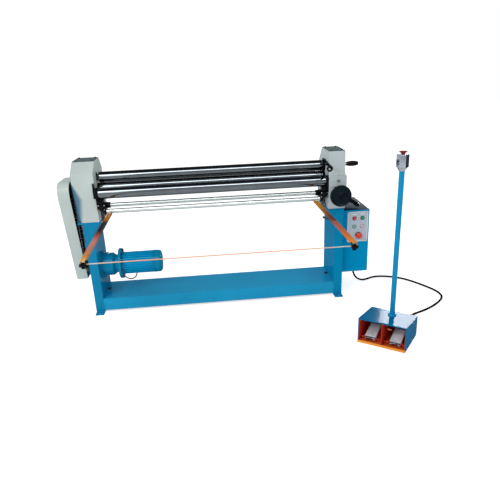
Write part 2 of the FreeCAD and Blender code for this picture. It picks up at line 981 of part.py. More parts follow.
def roll_gears():
    """The pair that makes the two pinch rolls turn opposite ways."""
    seat = S.gear_seat / 2 + S.running_gap
    keep("lower_gear", spur_gear("lower_gear", (pinch_y, lower_z), seat))
    keep("upper_gear", spur_gear("upper_gear", (pinch_y, upper_z), seat))


# ---------------------------------------------------------------- chain drive
def chain_axis():
    """Unit vectors from the roll sprocket to the motor sprocket and square to it, in Y and Z."""
    run = Vector(0, float(motor_y - pinch_y), float(motor_z - lower_z))
    run.normalize()
    return run, Vector(0, -run.z, run.y)


def sprocket(name, centre, teeth, pitch, bore, away):
    """Toothed wheel whose gaps sit under the chain's rollers; away points from the other wheel."""
    y, z = centre
    run, _ = chain_axis()
    count = int(teeth.value)
    step = 360 / count
    facing = math.degrees(math.atan2(away * run.z, away * run.y))
    wheel = Body(name, (chain_x - S.sprocket_width / 2, y, z), Rotation(Vector(1, 0, 0), facing + step / 2))
    tip = pitch + S.roller_size * 0.3
    wheel.pad(wheel.circles("YZ", [(0, 0, tip)]), S.sprocket_width)
    gap = wheel.feature("Pocket", roller_gap(wheel, pitch.value))
    bind(gap, Length=S.sprocket_width)
    gap.Reversed = True
    wheel.polar(gap, teeth)
    hole = wheel.pocket(wheel.circles("YZ", [(0, 0, bore)]), S.sprocket_width, back=True)
    wheel.body.Tip = hole
    return wheel


def roller_gap(wheel, pitch):
    """Sketch of the gap for one roller: a round seat with flanks that open outwards."""
    seat = S.roller_size.value / 2 + 0.15
    wrap = math.radians(60)
    ends = []
    for side in (-1, 1):
        low = Vector(pitch - seat * math.cos(wrap), side * seat * math.sin(wrap), 0)
        flank = Vector(math.sin(wrap), side * math.cos(wrap), 0)
        ends.append((low, low + flank * seat * 2.2))
    (left, left_top), (right, right_top) = ends
    sketch = wheel.sketch("YZ")
    sketch.addGeometry(Part.Arc(left, Vector(pitch - seat, 0, 0), right), False)
    sketch.addGeometry(Part.LineSegment(right, right_top), False)
    sketch.addGeometry(Part.LineSegment(right_top, left_top), False)
    sketch.addGeometry(Part.LineSegment(left_top, left), False)
    return sketch


def chain_pins():
    """Places of the chain's pins in order around both sprockets."""
    run, across = chain_axis()
    top = Vector(float(chain_x), float(pinch_y), float(lower_z))
    foot = Vector(float(chain_x), float(motor_y), float(motor_z))
    pins = []
    for centre, radius, teeth, away in (
        (top, roll_pitch.value, int(S.roll_sprocket_teeth.value), -1),
        (foot, motor_pitch.value, int(S.motor_sprocket_teeth.value), 1),
    ):
        wraps = teeth // 2
        for index in range(wraps + 1):
            angle = math.radians((index - wraps / 2) * 360 / teeth)
            arm = run * (away * math.cos(angle)) + across * (-away * math.sin(angle))
            pins.append(centre + arm * radius)
        if away < 0:
            last = pins[-1]
            side = foot + across * (pins[-1] - top).dot(across) * (motor_pitch.value / roll_pitch.value)
            links = int(S.strand_links.value)
            pins += [last + (side - last) * (step / links) for step in range(1, links)]
    last = pins[-1]
    links = int(S.strand_links.value)
    pins += [last + (pins[0] - last) * (step / links) for step in range(1, links)]
    return pins


def link_plate(start, end, x):
    """Eight-sided side plate around two pins, with its near face at x."""
    along = (end - start) * (1 / (end - start).Length)
    across = Vector(0, -along.z, along.y)
    half = S.link_height.value / 2
    nose = half * 0.41
    corners = []
    for centre, forward in ((start, -1), (end, 1)):
        for reach, rise in ((nose, -half), (half, -nose), (half, nose), (nose, half)):
            corners.append(centre + along * (forward * reach) + across * (forward * rise))
    shift = Vector(x - start.x, 0, 0)
    corners = [corner + shift for corner in corners]
    face = Part.Face(Part.makePolygon(corners + corners[:1]))
    return face.extrude(Vector(S.link_plate.value, 0, 0))


def drive_chain():
    """Roller chain: inner links with their rollers, and outer links over them."""
    pins = chain_pins()
    links = []
    middle = float(chain_x)
    inside = S.chain_inner.value / 2
    plate = S.link_plate.value
    for index, start in enumerate(pins):
        end = pins[(index + 1) % len(pins)]
        if index % 2:
            offset = inside + plate + 0.15
            links.append(link_plate(start, end, middle + offset))
            links.append(link_plate(start, end, middle - offset - plate))
            continue
        plates = [link_plate(start, end, middle + inside), link_plate(start, end, middle - inside - plate)]
        rollers = [
            Part.makeCylinder(
                S.roller_size.value / 2,
                2 * inside + plate,
                pin - Vector(inside + plate / 2, 0, 0),
                Vector(1, 0, 0),
            )
            for pin in (start, end)
        ]
        links.append(plates[0].fuse([plates[1]] + rollers).removeSplitter())
    keep("drive_chain", made("drive_chain", Part.makeCompound(links)))


def chain_cover():
    """Sheet cover with a rounded head and a leaning front, open towards the housing."""
    cover = Body("chain_cover_body", (-(left_outer + S.cover_gap + S.cover_width), 0, 0))

    def profile(inset):
        return [
            (motor_y - S.cover_half_foot + inset, S.cover_foot + inset),
            (pinch_y - S.cover_half_top + inset, S.cover_bend),
            (pinch_y - S.cover_half_top + inset, S.cover_top - inset),
            (pinch_y + S.cover_half_top - inset, S.cover_top - inset),
            (pinch_y + S.cover_half_top - inset, S.cover_bend),
            (motor_y + S.cover_half_foot - inset, S.cover_foot + inset),
        ]

    high = float(S.cover_top) - 5
    along = straight_along(Vector(1, 0, 0))

    def head_edge(edge):
        return along(edge) and edge.BoundBox.ZMin > high

    cover.pad(cover.outline("YZ", profile(0)), S.cover_width)
    cover.rounded(S.cover_round, head_edge)
    room = Body("chain_cover_room", (-(left_outer + S.cover_gap + S.cover_width - S.cover_sheet), 0, 0))
    room.pad(room.outline("YZ", profile(S.cover_sheet)), S.cover_width)
    room.rounded(S.cover_round - S.cover_sheet, head_edge)
    shell = cut("chain_cover_shell", cover.body, room.body)
    rim = -(left_outer + S.cover_gap + S.tab_rim)
    back_edge = pinch_y + S.cover_half_top
    foot_edge = motor_y + S.cover_half_foot
    top_start = pinch_y + S.ball_size / 2 + S.tab_clear
    foot_start = motor_z + S.foot_tab_rise
    skin = S.cover_sheet / 4
    tabs = [
        box(
            "cover_top_tab",
            (rim, -left_outer),
            (top_start, top_start + S.cover_tab),
            (S.cover_top - S.cover_sheet * 1.5, S.cover_top - skin),
        ),
        box(
            "cover_back_tab",
            (rim, -left_outer),
            (back_edge - S.cover_sheet * 1.5, back_edge - skin),
            (S.cover_bend, S.cover_bend + S.cover_tab),
        ),
        box(
            "cover_foot_tab",
            (rim, -post_out),
            (foot_edge, foot_edge + S.foot_tab),
            (foot_start, foot_start + S.foot_tab),
        ),
    ]
    keep("chain_cover", fuse("chain_cover", shell, *tabs))


def sprockets():
    """Both chain wheels, in step with the chain."""
    for name, centre, teeth, pitch_radius, shaft, flip in (
        ("roll_sprocket", (pinch_y, lower_z), S.roll_sprocket_teeth, roll_pitch, S.drive_neck, -1),
        ("motor_sprocket", (motor_y, motor_z), S.motor_sprocket_teeth, motor_pitch, S.output_size, 1),
    ):
        keep(name, sprocket(name, centre, teeth, pitch_radius, shaft / 2 + S.running_gap, flip))


# ---------------------------------------------------------------- gear-motor
def output_shaft():
    """Gearbox output shaft that carries the motor sprocket."""
    start = chain_x - S.sprocket_width
    place = (start, motor_y, motor_z)
    keep("output_shaft", rod("output_shaft", "X", place, -post_in - start, S.output_size / 2))


def gearbox():
    """Round gearbox with a bolted foot on the post and a wide motor flange."""
    body = S.gearbox_size / 2
    foot = S.gearbox_foot / 2
    flange = S.motor_flange / 2
    motor_end = S.motor_start
    points = [
        (0, 0),
        (0, foot),
        (12, foot),
        (12, body),
        (S.gearbox_length, body),
        (S.gearbox_length + 15, body - 14),
        (motor_end - 16, body - 14),
        (motor_end - 16, flange),
        (motor_end, flange),
        (motor_end, 0),
    ]
    keep("gearbox", turned_part("gearbox", (-post_in, motor_y, motor_z), points))


def motor_body():
    """Finned barrel of the motor."""
    barrel = Body("motor_barrel", (-post_in + S.motor_start, motor_y, motor_z))
    barrel.pad(barrel.circles("YZ", [(0, 0, S.motor_core / 2)]), S.motor_length)
    outer = S.motor_size / 2
    half = S.fin_width / 2
    fin = [(-half, S.motor_core / 2 - 2), (half, S.motor_core / 2 - 2), (half, outer - 1), (-half, outer - 1)]
    blade = barrel.pad(barrel.outline("YZ", fin, 6), S.motor_length - 12)
    barrel.polar(blade, S.fin_count)
    keep("motor_body", cut("motor_body", barrel.body, terminal_block("motor_seat")))


def terminal_block(name):
    """Block of the terminal box, from its seat on the barrel outwards."""
    start = -post_in + S.motor_start + S.terminal_in
    return box(
        name,
        (start, start + S.terminal_length),
        (motor_y + S.terminal_flat, motor_y + S.terminal_out),
        (motor_z - S.terminal_half, motor_z + S.terminal_half),
    )


def fan_cover():
    """Rounded cup over the motor's fan."""
    outer = S.motor_size / 2
    place = (-post_in + S.motor_start + S.motor_length, motor_y, motor_z)
    cup = turned_part("fan_cover", place, [(0, 0), (0, outer), (S.fan_length, outer), (S.fan_length, 0)])
    end = float(S.fan_length) - 1
    cup.rounded(S.fan_round, lambda edge: edge.BoundBox.XMin > end and edge.Length > 10)
    keep("fan_cover", cup)


def terminal_box():
    """Connection box on the back of the motor."""
    keep("terminal_box", terminal_block("terminal_box"))


# ---------------------------------------------------------------- upper roll pivot and carrier
def round_ring(name, place, half, outer, inner_radius, hollow):
    """A ring about X whose outside, or inside if hollow, is part of a ball."""
    ring_body = Body(name, place)
    half, outer, inner_radius = (float(value) for value in (half, outer, inner_radius))
    curved = inner_radius if hollow else outer
    flat = outer if hollow else inner_radius
    rim = math.sqrt(curved ** 2 - half ** 2)
    sketch = ring_body.sketch("XY")
    arc = Part.Arc(Vector(-half, rim, 0), Vector(0, curved, 0), Vector(half, rim, 0))
    corners = [Vector(half, rim, 0), Vector(half, flat, 0), Vector(-half, flat, 0), Vector(-half, rim, 0)]
    sketch.addGeometry(arc, False)
    for start, end in zip(corners, corners[1:]):
        sketch.addGeometry(Part.LineSegment(start, end), False)
    turned = ring_body.feature("Revolution", sketch)
    turned.ReferenceAxis = (sketch, ["H_Axis"])
    turned.Angle = 360
    return ring_body


def pivot_bearing():
    """Split ball that the upper roll turns in, and its socket in the housing wall."""
    place = (-(left_outer - S.wall / 2), pinch_y, upper_z)
    radius = S.ball_size / 2
    bore = S.pivot_neck / 2 + S.running_gap
    keep("pivot_ball", round_ring("pivot_ball", place, S.wall * 0.75, radius, bore, False))
    socket = radius + 5.5 - S.running_gap
    keep("pivot_socket", round_ring("pivot_socket", place, S.wall / 2, socket, radius + S.ball_gap, True))


def upper_carrier():
    """Black casting round the upper roll's right neck, with its lifting lever and eye."""
    start = roll_half + 1.5
    bore = S.front_neck / 2 + S.running_gap
    hub = sleeve("carrier_hub", start, S.carrier_plate, (pinch_y, upper_z), S.roll_size / 2 + 1, bore)
    middle = start + S.carrier_plate / 2
    eye_y = pinch_y - S.lever_reach
    eye_z = upper_z + S.eye_rise
    lever = Body("carrier_lever", (start, 0, 0))
    top = S.carrier_top
    points = [
        (pinch_y + 16.5, top),
        (pinch_y - 23.5, top),
        (pinch_y - 83.5, top - 8),
        (eye_y, eye_z + S.eye_wire),
        (eye_y, eye_z - S.eye_wire),
        (pinch_y - 83.5, top - 23),
        (pinch_y - 29.5, upper_z + 8.5),
    ]
    lever.pad(lever.outline("YZ", points), S.carrier_plate)
    eye = ring("carrier_eye", (middle - S.eye_ring, eye_y, eye_z), S.eye_ring, S.eye_wire, TURNS["Y"])
    keep("upper_carrier", fuse("upper_carrier", hub, lever.body, eye))


def lock_screw():
    """Clamp screw through the right housing with an oval grip."""
    thick = S.clamp_size / 2
    grip = S.grip_size / 2
    start = right_outer + S.grip_gap
    end = start + S.grip_length
    points = [
        (inner - 1, 0),
        (inner - 1, thick),
        (start - 2, thick),
        (start, grip * 0.55),
        (start + 12, grip * 0.88),
        (start + S.grip_length / 2, grip),
        (end - 12, grip * 0.88),
        (end, grip * 0.55),
        (end, 0),
    ]
    keep("lock_screw", turned_part("lock_screw", (0, pinch_y, upper_z), points))


# ---------------------------------------------------------------- bending roll slides
def slide_blocks():
    """Bearing blocks of the bending roll, each with a foot under the roll and a tongue."""
    near = roll_half + 1.5
    far = inner - 1.5
    plate = box(
        "slide_plate",
        (near, far),
        (front_y - S.slide_half, front_y + S.slide_half),
        (S.slide_foot, S.slide_top),
    )
    foot = box(
        "slide_foot",
        (inner - S.foot_in, far),
        (front_y - S.foot_half, front_y + S.foot_half),
        (S.slide_foot, S.foot_top),
    )
    tongue = box(
        "slide_tongue",
        (far, far + S.tongue_length),
        (front_y - S.tongue_half, front_y + S.tongue_half),
        (front_z - S.tongue_half, S.slide_top - 2),
    )
    bore = rod(
        "slide_bore",
        "X",
        (near - 1, front_y, front_z),
        S.tongue_length + 12 + 2,
        S.front_neck / 2 + S.running_gap,
    )
    right = cut("right_slide", fuse("slide_casting", plate, foot, tongue), bore)
    left = mirror("left_slide", right)
    keep("slide_blocks", group("slide_blocks", right, left))


def adjusting_screw(name, side, eye):
    """Vertical screw under a slide's foot; the right one ends in an eye."""
    x = side * screw_x
    eye_z = S.box_foot - S.eye_drop
    end = eye_z + S.screw_eye - 1 if eye else eye_z - S.screw_eye / 2
    shank = rod(f"{name}_shank", "Z", (x, front_y, end), S.slide_foot - end, S.screw_size / 2)
    if not eye:
        half = S.square_size / 2
        square = box(
            f"{name}_square",
            (x - half, x + half),
            (front_y - half, front_y + half),
            (end - S.square_length, end),
        )
        keep(name, fuse(name, shank, square))
        return
    loop = ring(f"{name}_eye", (x, front_y, eye_z), S.screw_eye, S.screw_eye_wire, TURNS["Y"])
    keep(name, fuse(name, shank, loop))


def gear_boxes():
    """Closed boxes where the cross shaft drives the screws, with the guard bar's ears."""
    low = S.box_foot
    body = box("gear_box_body", (inner - S.box_length, inner), (-S.box_front, -S.box_back), (low, S.box_top))
    near = inner - S.box_length
    collar = rod(
        "gear_box_collar",
        "X",
        (near - S.collar_length, cross_y, cross_z),
        S.collar_length + 2,
        S.cross_size / 2 + 5,
    )
    ear = box(
        "gear_box_ear", (near, near + S.ear_width), (guard_y - 16, guard_y + 16), (guard_z - 16, low + 4))
    tools = [
        rod(
            "gear_box_shaft_bore",
            "X",
            (near - S.collar_length - 1, cross_y, cross_z),
            S.box_length + S.collar_length + 2,
            S.cross_size / 2 + S.running_gap,
        ),
        rod(
            "gear_box_screw_bore",
            "Z",
            (screw_x, front_y, low - 1),
            S.box_top - low + 2,
            S.screw_size / 2 + S.running_gap,
        ),
        rod("gear_box_ear_bore", "X", (near - 1, guard_y, guard_z), 18, S.guard_neck / 2 + S.running_gap),
    ]
    right = cut("right_gear_box", fuse("gear_box_casting", body, collar, ear), *tools)
    left = mirror("left_gear_box", right)
    keep("gear_boxes", group("gear_boxes", right, left))


# ---------------------------------------------------------------- crank and cross shaft
def miter_teeth(apex, axis, tooth_at, half_step):
    """Straight bevel teeth at 45 degrees, with their apex at the meeting point of both shafts."""
    teeth = int(S.miter_teeth.value)
    pitch = S.miter_module.value * teeth / 2
    cone = pitch * math.sqrt(2)
    tip = pitch * math.tan(math.radians(45) + math.atan(S.miter_module.value * 0.9 / cone))
    foot = pitch * math.tan(math.radians(45) - math.atan(S.miter_module.value * 1.25 / cone))
    small = 1 - S.miter_face.value / cone
    side = axis.cross(tooth_at)
    step = 2 * math.pi / teeth
    slope = 0.26

    def half_tooth(radius):
        return (step / 4) - 0.012 - (radius - pitch) * slope / pitch

    sections = []
    for scale in (1, small):
        points = []
        for tooth in range(teeth):
            middle = (tooth + (0.5 if half_step else 0)) * step
            for radius, sign in ((foot, -1), (tip, -1), (tip, 1), (foot, 1)):
                angle = middle + sign * half_tooth(radius)
                arm = tooth_at * math.cos(angle) + side * math.sin(angle)
                points.append(apex + axis * (-pitch * scale) + arm * (radius * scale))
        sections.append(Part.makePolygon(points + points[:1]))
    return Part.makeLoft(sections, True, True)


def cross_shaft():
    """Shaft that links both gear boxes, with a miter gear at the crank."""
    apex = Vector(float(crank_x), float(cross_y), float(cross_z))
    gear_face = crank_x - S.miter_module * S.miter_teeth / 2
    start = -(inner - 5)
    bar = rod("cross_bar", "X", (start, cross_y, cross_z), gear_face + 2 - start, S.cross_size / 2)
    teeth = made("cross_teeth", miter_teeth(apex, Vector(1, 0, 0), Vector(0, -1, 0), False))
    keep("cross_shaft", fuse("cross_shaft", bar, teeth))


def wheel_shaft():
    """Crank shaft through the housing's front, with the other miter gear."""
    apex = Vector(float(crank_x), float(cross_y), float(cross_z))
    gear_face = cross_y - S.miter_module * S.miter_teeth / 2
    start = -(S.right_front + S.disc_out + S.disc_width)
    bar = rod("wheel_bar", "Y", (crank_x, start, cross_z), gear_face + 2 - start, S.crank_size / 2)
    teeth = made("wheel_teeth", miter_teeth(apex, Vector(0, 1, 0), Vector(-1, 0, 0), True))
    keep("wheel_shaft", fuse("wheel_shaft", bar, teeth))


def handwheel():
    """Solid dished disc with a crank arm and the pin of its revolving handle."""
    back = -(S.right_front + S.disc_out)
    front = back - S.disc_width
    radius = S.disc_size / 2
    disc = Body("handwheel_disc", (crank_x, back, cross_z), Rotation(Vector(0, 0, 1), -90))
    points = [
        (-27, 0),
        (-27, 18),
        (-2, 20),
        (0, radius - 3),
        (3, radius),
        (S.disc_width - 3, radius),
        (S.disc_width, radius - 3),
        (S.disc_width, radius - 10),
        (S.disc_width - 4, radius - 14),
        (S.disc_width - 4, 22),
        (S.disc_width, 18),
        (S.disc_width, 0),
    ]
    disc.turned(points)
    throw = root(S.crank_right * S.crank_right + S.crank_drop * S.crank_drop)
    lean = math.degrees(math.atan2(float(S.crank_drop), float(S.crank_right)))
    arm = Body("handwheel_arm", (crank_x, front, cross_z), Rotation(Vector(0, 1, 0), lean))
    end = throw + 12
    web = arm.outline("XZ", [(12, -15), (throw, -13), (end, -6), (end, 6), (throw, 13), (12, 15)])
    arm.pad(web, 7)
    root_block = arm.outline("XZ", [(12, -15), (50, -14), (50, 14), (12, 15)])
    arm.pad(root_block, 6, back=True)
    hand = (crank_x + S.crank_right, front - S.crank_handle + 4, cross_z - S.crank_drop)
    pin = rod("handle_pin", "Y", hand, S.crank_handle, 5)
    reach = S.disc_width + 32
    hole = rod("handwheel_bore", "Y", (crank_x, front - 1, cross_z), reach, S.crank_size / 2 + S.running_gap)
    keep("handwheel", cut("handwheel", fuse("handwheel_casting", disc.body, arm.body, pin), hole))


def crank_handle():
    """Oval handle that turns on the crank's pin."""
    front = -(S.right_front + S.disc_out + S.disc_width)
    place = (crank_x + S.crank_right, front - 8, cross_z - S.crank_drop)
    handle = Body("crank_handle", place, Rotation(Vector(0, 0, 1), -90))
    long = S.crank_handle
    bore = 5 + S.running_gap
    points = [
        (0, bore),
        (0, 9),
        (8, 12),
        (long * 0.45, 13.5),
        (long * 0.8, 12.5),
        (long, 7),
        (long, 0),
        (long - 7, 0),
        (long - 7, bore),
    ]
    handle.turned(points)
    keep("crank_handle", handle)


# ---------------------------------------------------------------- guard
def guard_bar():
    """Round bar that the guard swings on, with turned-down ends."""
    half = inner - S.box_length - 2
    neck = S.guard_neck / 2
    bar = S.guard_bar / 2
    end = half + 14
    points = [
        (-end, 0), (-end, neck), (-half, neck), (-half, bar),
        (half, bar), (half, neck), (end, neck), (end, 0),
    ]
    keep("guard_bar", turned_part("guard_bar", (0, guard_y, guard_z), points))


def arm_place():
    """Height of an arm's middle at the guard bar, and the reach to the trip wire."""
    middle_z = guard_z - S.guard_bar / 2 + S.arm_seat - S.arm_height / 2
    return middle_z, S.arm_length - 6


def guard_arm(name, side, lobe):
    """Channel arm under the guard bar, drooping slightly to the front."""
    middle_z, reach = arm_place()
    middle = side * (inner - S.arm_in) - S.arm_skew / 2
    aside = Rotation(Vector(0, 0, 1), math.degrees(math.asin(float(S.arm_skew) / float(reach))))
    turn = aside.multiply(Rotation(Vector(1, 0, 0), float(S.arm_droop)))
    place = (middle, guard_y, middle_z)
    arm = Body(f"{name}_channel", place, turn)
    half = S.arm_width / 2
    high = S.arm_height / 2
    wall = S.arm_sheet
    section = [
        (-half, -high), (-half, high), (half, high), (half, -high),
        (half - wall, -high), (half - wall, high - wall), (-half + wall, high - wall), (-half + wall, -high),
    ]
    arm.pad(arm.outline("XZ", section, -S.arm_heel), S.arm_length + S.arm_heel)
    parts = [arm.body]
    if lobe:
        cam = Body(f"{name}_lobe", place, turn)
        low = -high - S.lobe_drop
        start = -S.lobe_start
        end = start - S.lobe_long
        slope = S.lobe_long / 6
        shape = [
            (end, -high + 1),
            (end + slope, low + 3),
            (end + slope * 2, low),
            (start - slope, low),
            (start - slope / 2, low + 2),
            (start, -high + 1),
        ]
        cam.pad(cam.outline("YZ", shape, half - wall * 2), wall * 2)
        parts.append(cam.body)
    bore = rod(
        f"{name}_saddle",
        "X",
        (middle - S.arm_width, guard_y, guard_z),
        S.arm_width * 2,
        S.guard_bar / 2 + S.running_gap,
    )
    welded = fuse(f"{name}_welded", *parts) if lobe else arm.body
    keep(name, cut(name, welded, bore))


def wire_place():
    """Height and depth of the trip wire at the arms' front ends."""
    droop = math.radians(float(S.arm_droop))
    middle_z, reach = arm_place()
    y = guard_y - reach * math.cos(droop)
    z = middle_z - reach * math.sin(droop) - S.arm_height / 2 - S.wire_drop
    return y, z


def trip_wire():
    """Straight wire between both clamps."""
    y, z = wire_place()
    half = inner - S.arm_in - S.arm_width / 3
    start = S.arm_skew / 2 - half
    keep("trip_wire", rod("trip_wire", "X", (start, y, z), half * 2, S.wire_size / 2))


def wire_clamp(name, side):
    """Black clamp under an arm's front end, its jaw on the arm's inner side."""
    y, z = wire_place()
    half = S.arm_width / 2 + S.jaw_sheet
    middle = side * (inner - S.arm_in) + S.arm_skew / 2
    under = z + S.wire_drop - S.loose_gap
    deep = S.clamp_deep / 2
    block = box(
        f"{name}_block",
        (middle - half, middle + half),
        (y - deep, y + deep),
        (under - S.clamp_tall, under),
    )
    jaw_out = middle - side * half
    jaw_in = jaw_out + side * (S.jaw_sheet - S.loose_gap)
    low, high = sorted((jaw_out, jaw_in), key=float)
    jaw = box(f"{name}_jaw", (low, high), (y - deep, y + deep), (under - 1, under + S.arm_height * 0.8))
    start = middle - half - 1 if side > 0 else middle + half + 1
    length = side * (half + 9)
    low, high = sorted((start, start + length), key=float)
    bore = rod(f"{name}_bore", "X", (low, y, z), high - low, S.wire_size / 2 + S.running_gap)
    return cut(name, fuse(f"{name}_casting", block, jaw), bore)


def wire_clamps():
    """Both clamps of the trip wire."""
    clamps = [wire_clamp("left_clamp", -1), wire_clamp("right_clamp", 1)]
    keep("wire_clamps", group("wire_clamps", *clamps))


def trip_switch():
    """Small limit switch behind the right post's gusset, and its roller lever."""
    gusset_foot = S.post_height - S.seat_plate - S.gusset_drop
    axle_z = gusset_foot - S.lever_clear - S.lever_axle / 2
    front = -half_depth + S.post_wall + S.switch_gap
    keep("trip_switch", box(
        "trip_switch",
        (post_in - S.switch_width, post_in),
        (front, front + S.switch_deep),
        (axle_z - S.switch_tall / 2, axle_z + S.switch_tall / 2),
    ))
    axle_x = post_in - S.switch_width / 2
    roller_x = post_in - S.lever_roller_in
    roller_z = axle_z + S.lever_rise
    out = -half_depth - S.lever_out
    axle = rod("trip_axle", "Y", (axle_x, out, axle_z), front - out, S.lever_axle / 2)
    arm = Body("trip_arm", (0, out, 0))
    half = S.lever_axle * 0.6
    corners = [
        (roller_x, roller_z - half),
        (axle_x, axle_z - half),
        (axle_x, axle_z + half),
        (roller_x, roller_z + half),
    ]
    arm.pad(arm.outline("XZ", corners), S.lever_sheet, back=True)
    place = (roller_x, out + S.lever_sheet - 1, roller_z)
    roller = rod("trip_roller", "Y", place, S.lever_sheet * 2 + 1, S.lever_roller / 2)
    keep("trip_lever", fuse("trip_lever", axle, arm.body, roller))


# ---------------------------------------------------------------- control box
def control_box():
    """Sheet-metal box on the right post, bored for its buttons."""
    x = (post_out, post_out + S.box_wide)
    outer = box("box_outer", x, (-S.box_near, S.box_far), (S.box_low, S.box_high))
    wall = S.box_sheet
    inside = box(
        "box_inside",
        (x[0] + wall, x[1] - wall),
        (-S.box_near + wall, S.box_far - wall),
        (S.box_low + wall, S.box_high - wall),
    )
    tools = [inside]
    for name, (px, pz, radius) in button_places().items():
        tools.append(rod(f"box_{name}", "Y", (px, -S.box_near - 1, pz), wall + 2, radius + S.running_gap))
    place = (S.cable_x, S.cable_y, S.box_low - 1)
    tools.append(rod("box_cable_hole", "Z", place, wall + 2, S.cable_size / 2 + 3))
    keep("control_box", cut("control_box", outer, *tools))


def panel_span():
    """X and Z limits of the control panel."""
    right = post_out + S.box_wide - S.panel_right
    top = S.box_high - S.panel_high
    return (right - S.panel_wide, right), (top - S.panel_tall, top)


def button_places():
    """Centre and stem radius of each moving button on the panel."""
    x, z = panel_span()
    left = x[0] + 43
    row = z[1] - 41
    radius = S.button_size / 2
    return {
        "stop_button": (left, row, radius),
        "start_button": (left + S.button_pitch, row, radius),
        "emergency_button": (left + 28, z[0] + 43, S.stop_stem / 2),
    }


def control_panel():
    """Light panel with a bezel round each button and its two lamps."""
    x, z = panel_span()
    front = -S.box_near - 2
    plate = box("panel_plate", x, (front, -S.box_near), z)
    bezels = []
    holes = []
    for name, (px, pz, radius) in button_places().items():
        bezels.append(rod(f"bezel_{name}", "Y", (px, front - 3, pz), 4, radius + 4))
        holes.append(rod(f"panel_{name}", "Y", (px, front - 4, pz), 8, radius + S.running_gap))
    keep("control_panel", cut("control_panel", fuse("panel_face", plate, *bezels), *holes))
    places = button_places()
    low = z[1] - 94
    lamps = [
        rod(f"lamp_{name}", "Y", (places[name][0], front - 7, low), 7, 9)
        for name in ("stop_button", "start_button")
    ]
    keep("panel_lamps", group("panel_lamps", *lamps))


def buttons():
    """Moving caps of the panel's three buttons."""
    front = -S.box_near - 2
    for name, (px, pz, radius) in button_places().items():
        if name == "emergency_button":
            stem = rod("emergency_stem", "Y", (px, front - 14, pz), 22, radius)
            head = rod("emergency_head", "Y", (px, front - 24, pz), 12, S.stop_size / 2)
            keep(name, fuse(name, stem, head))
        else:
            keep(name, rod(name, "Y", (px, front - 9, pz), 17, radius))


def gland(name, axis, centre, inward, bore):
    """Threaded gland outside a wall, with its neck through the wall; inward is the way in."""
    nut_length = 16
    neck_length = 6
    parts = []
    spans = {
        "nut": (-nut_length if inward > 0 else 0, nut_length, bore + 6),
        "neck": (-1 if inward > 0 else -neck_length + 1, neck_length, bore + 3 - S.running_gap),
        "hole": (-nut_length - neck_length, 2 * (nut_length + neck_length), bore + S.running_gap),
    }
    for part, (shift, length, radius) in spans.items():
        start = list(centre)
        start["XYZ".index(axis)] = start["XYZ".index(axis)] + shift
        parts.append(rod(f"{name}_{part}", axis, start, length, radius))
    nut, neck, hole = parts
    return cut(name, fuse(f"{name}_body", nut, neck), hole)


def lead_ends():
    """Where the motor lead leaves its terminal box and where it enters the post."""
    y = motor_y + S.lead_back
    low = motor_z - S.terminal_half
    start = (-post_in + S.motor_start + S.terminal_in + 19, y, low)
    end = (-post_in, y, low + 14)
    return start, end


def lead_collar(name, axis, start, length):
    """Small collar round an end of the motor lead."""
    bore = S.lead_size / 2
    shift = [-1 if axis == letter else 0 for letter in "XYZ"]
    body = rod(f"{name}_body", axis, start, length, bore + 4)
    hole_start = tuple(place + step for place, step in zip(start, shift))
    hole = rod(f"{name}_hole", axis, hole_start, length + 2, bore + S.running_gap)
    return cut(name, body, hole)


def cable_glands():
    """Glands of the foot cable and collars of the motor lead."""
    bore = S.cable_size / 2
    upper = gland("box_gland", "Z", (S.cable_x, S.cable_y, S.box_low), 1, bore)
    lower = gland("station_gland", "Y", (S.gland_side, S.station_deep / 2, S.gland_height), -1, bore)
    (x, y, z), end = lead_ends()
    box_collar = lead_collar("box_collar", "Z", (x, y, z - 10), 10)
    post_collar = lead_collar("post_collar", "X", end, 10)
    placed = in_station("station_gland_placed", lower)
    keep("cable_glands", group("cable_glands", upper, placed, box_collar, post_collar))


# ---------------------------------------------------------------- foot station
def in_station(name, *shapes):
    """Carry solids from the station's own frame to its place on the floor."""
    item = document.addObject("Part::Compound", name)
    item.Links = list(shapes)
    item.Placement.Rotation = Rotation(Vector(0, 0, 1), float(S.station_turn))
    put(item, S.station_x, S.station_y, 0)
    return item


def gland_hole(name):
    """Tool for the gland's hole through the station's back."""
    start = (S.gland_side, S.station_deep / 2 - 10, S.gland_height)
    return rod(name, "Y", start, 20, S.cable_size / 2 + 3)


def hood_top(y, drop=0):
    """Height of the hood's sloping top at a depth in the station's frame, less a drop."""
    fall = (S.station_tall - S.station_back) / S.station_deep
    return S.station_tall - fall * (y + S.station_deep / 2) - drop


def sloping(name, half, front, back, low, drop):
    """A block under the hood's slope, with its own front, back and foot."""
    wedge = Body(name, (-half, 0, 0))
    outline = [(front, low), (front, hood_top(front, drop)), (back, hood_top(back, drop)), (back, low)]
    wedge.pad(wedge.outline("YZ", outline), half * 2)
    return wedge.body


def pedal_hood():
    """Blue hood of the foot station, open at the front and lower at its back."""
    half = S.station_wide / 2
    deep = S.station_deep / 2
    sheet = S.station_sheet
    outer = sloping("hood_outer", half, -deep, deep, size(0), size(0))
    room = sloping("hood_room", half - sheet, -deep - 1, deep - sheet, size(-1), sheet)
    hole = gland_hole("hood_gland_hole")
    keep("pedal_hood", in_station("pedal_hood", cut("hood_shell", outer, room, hole)))


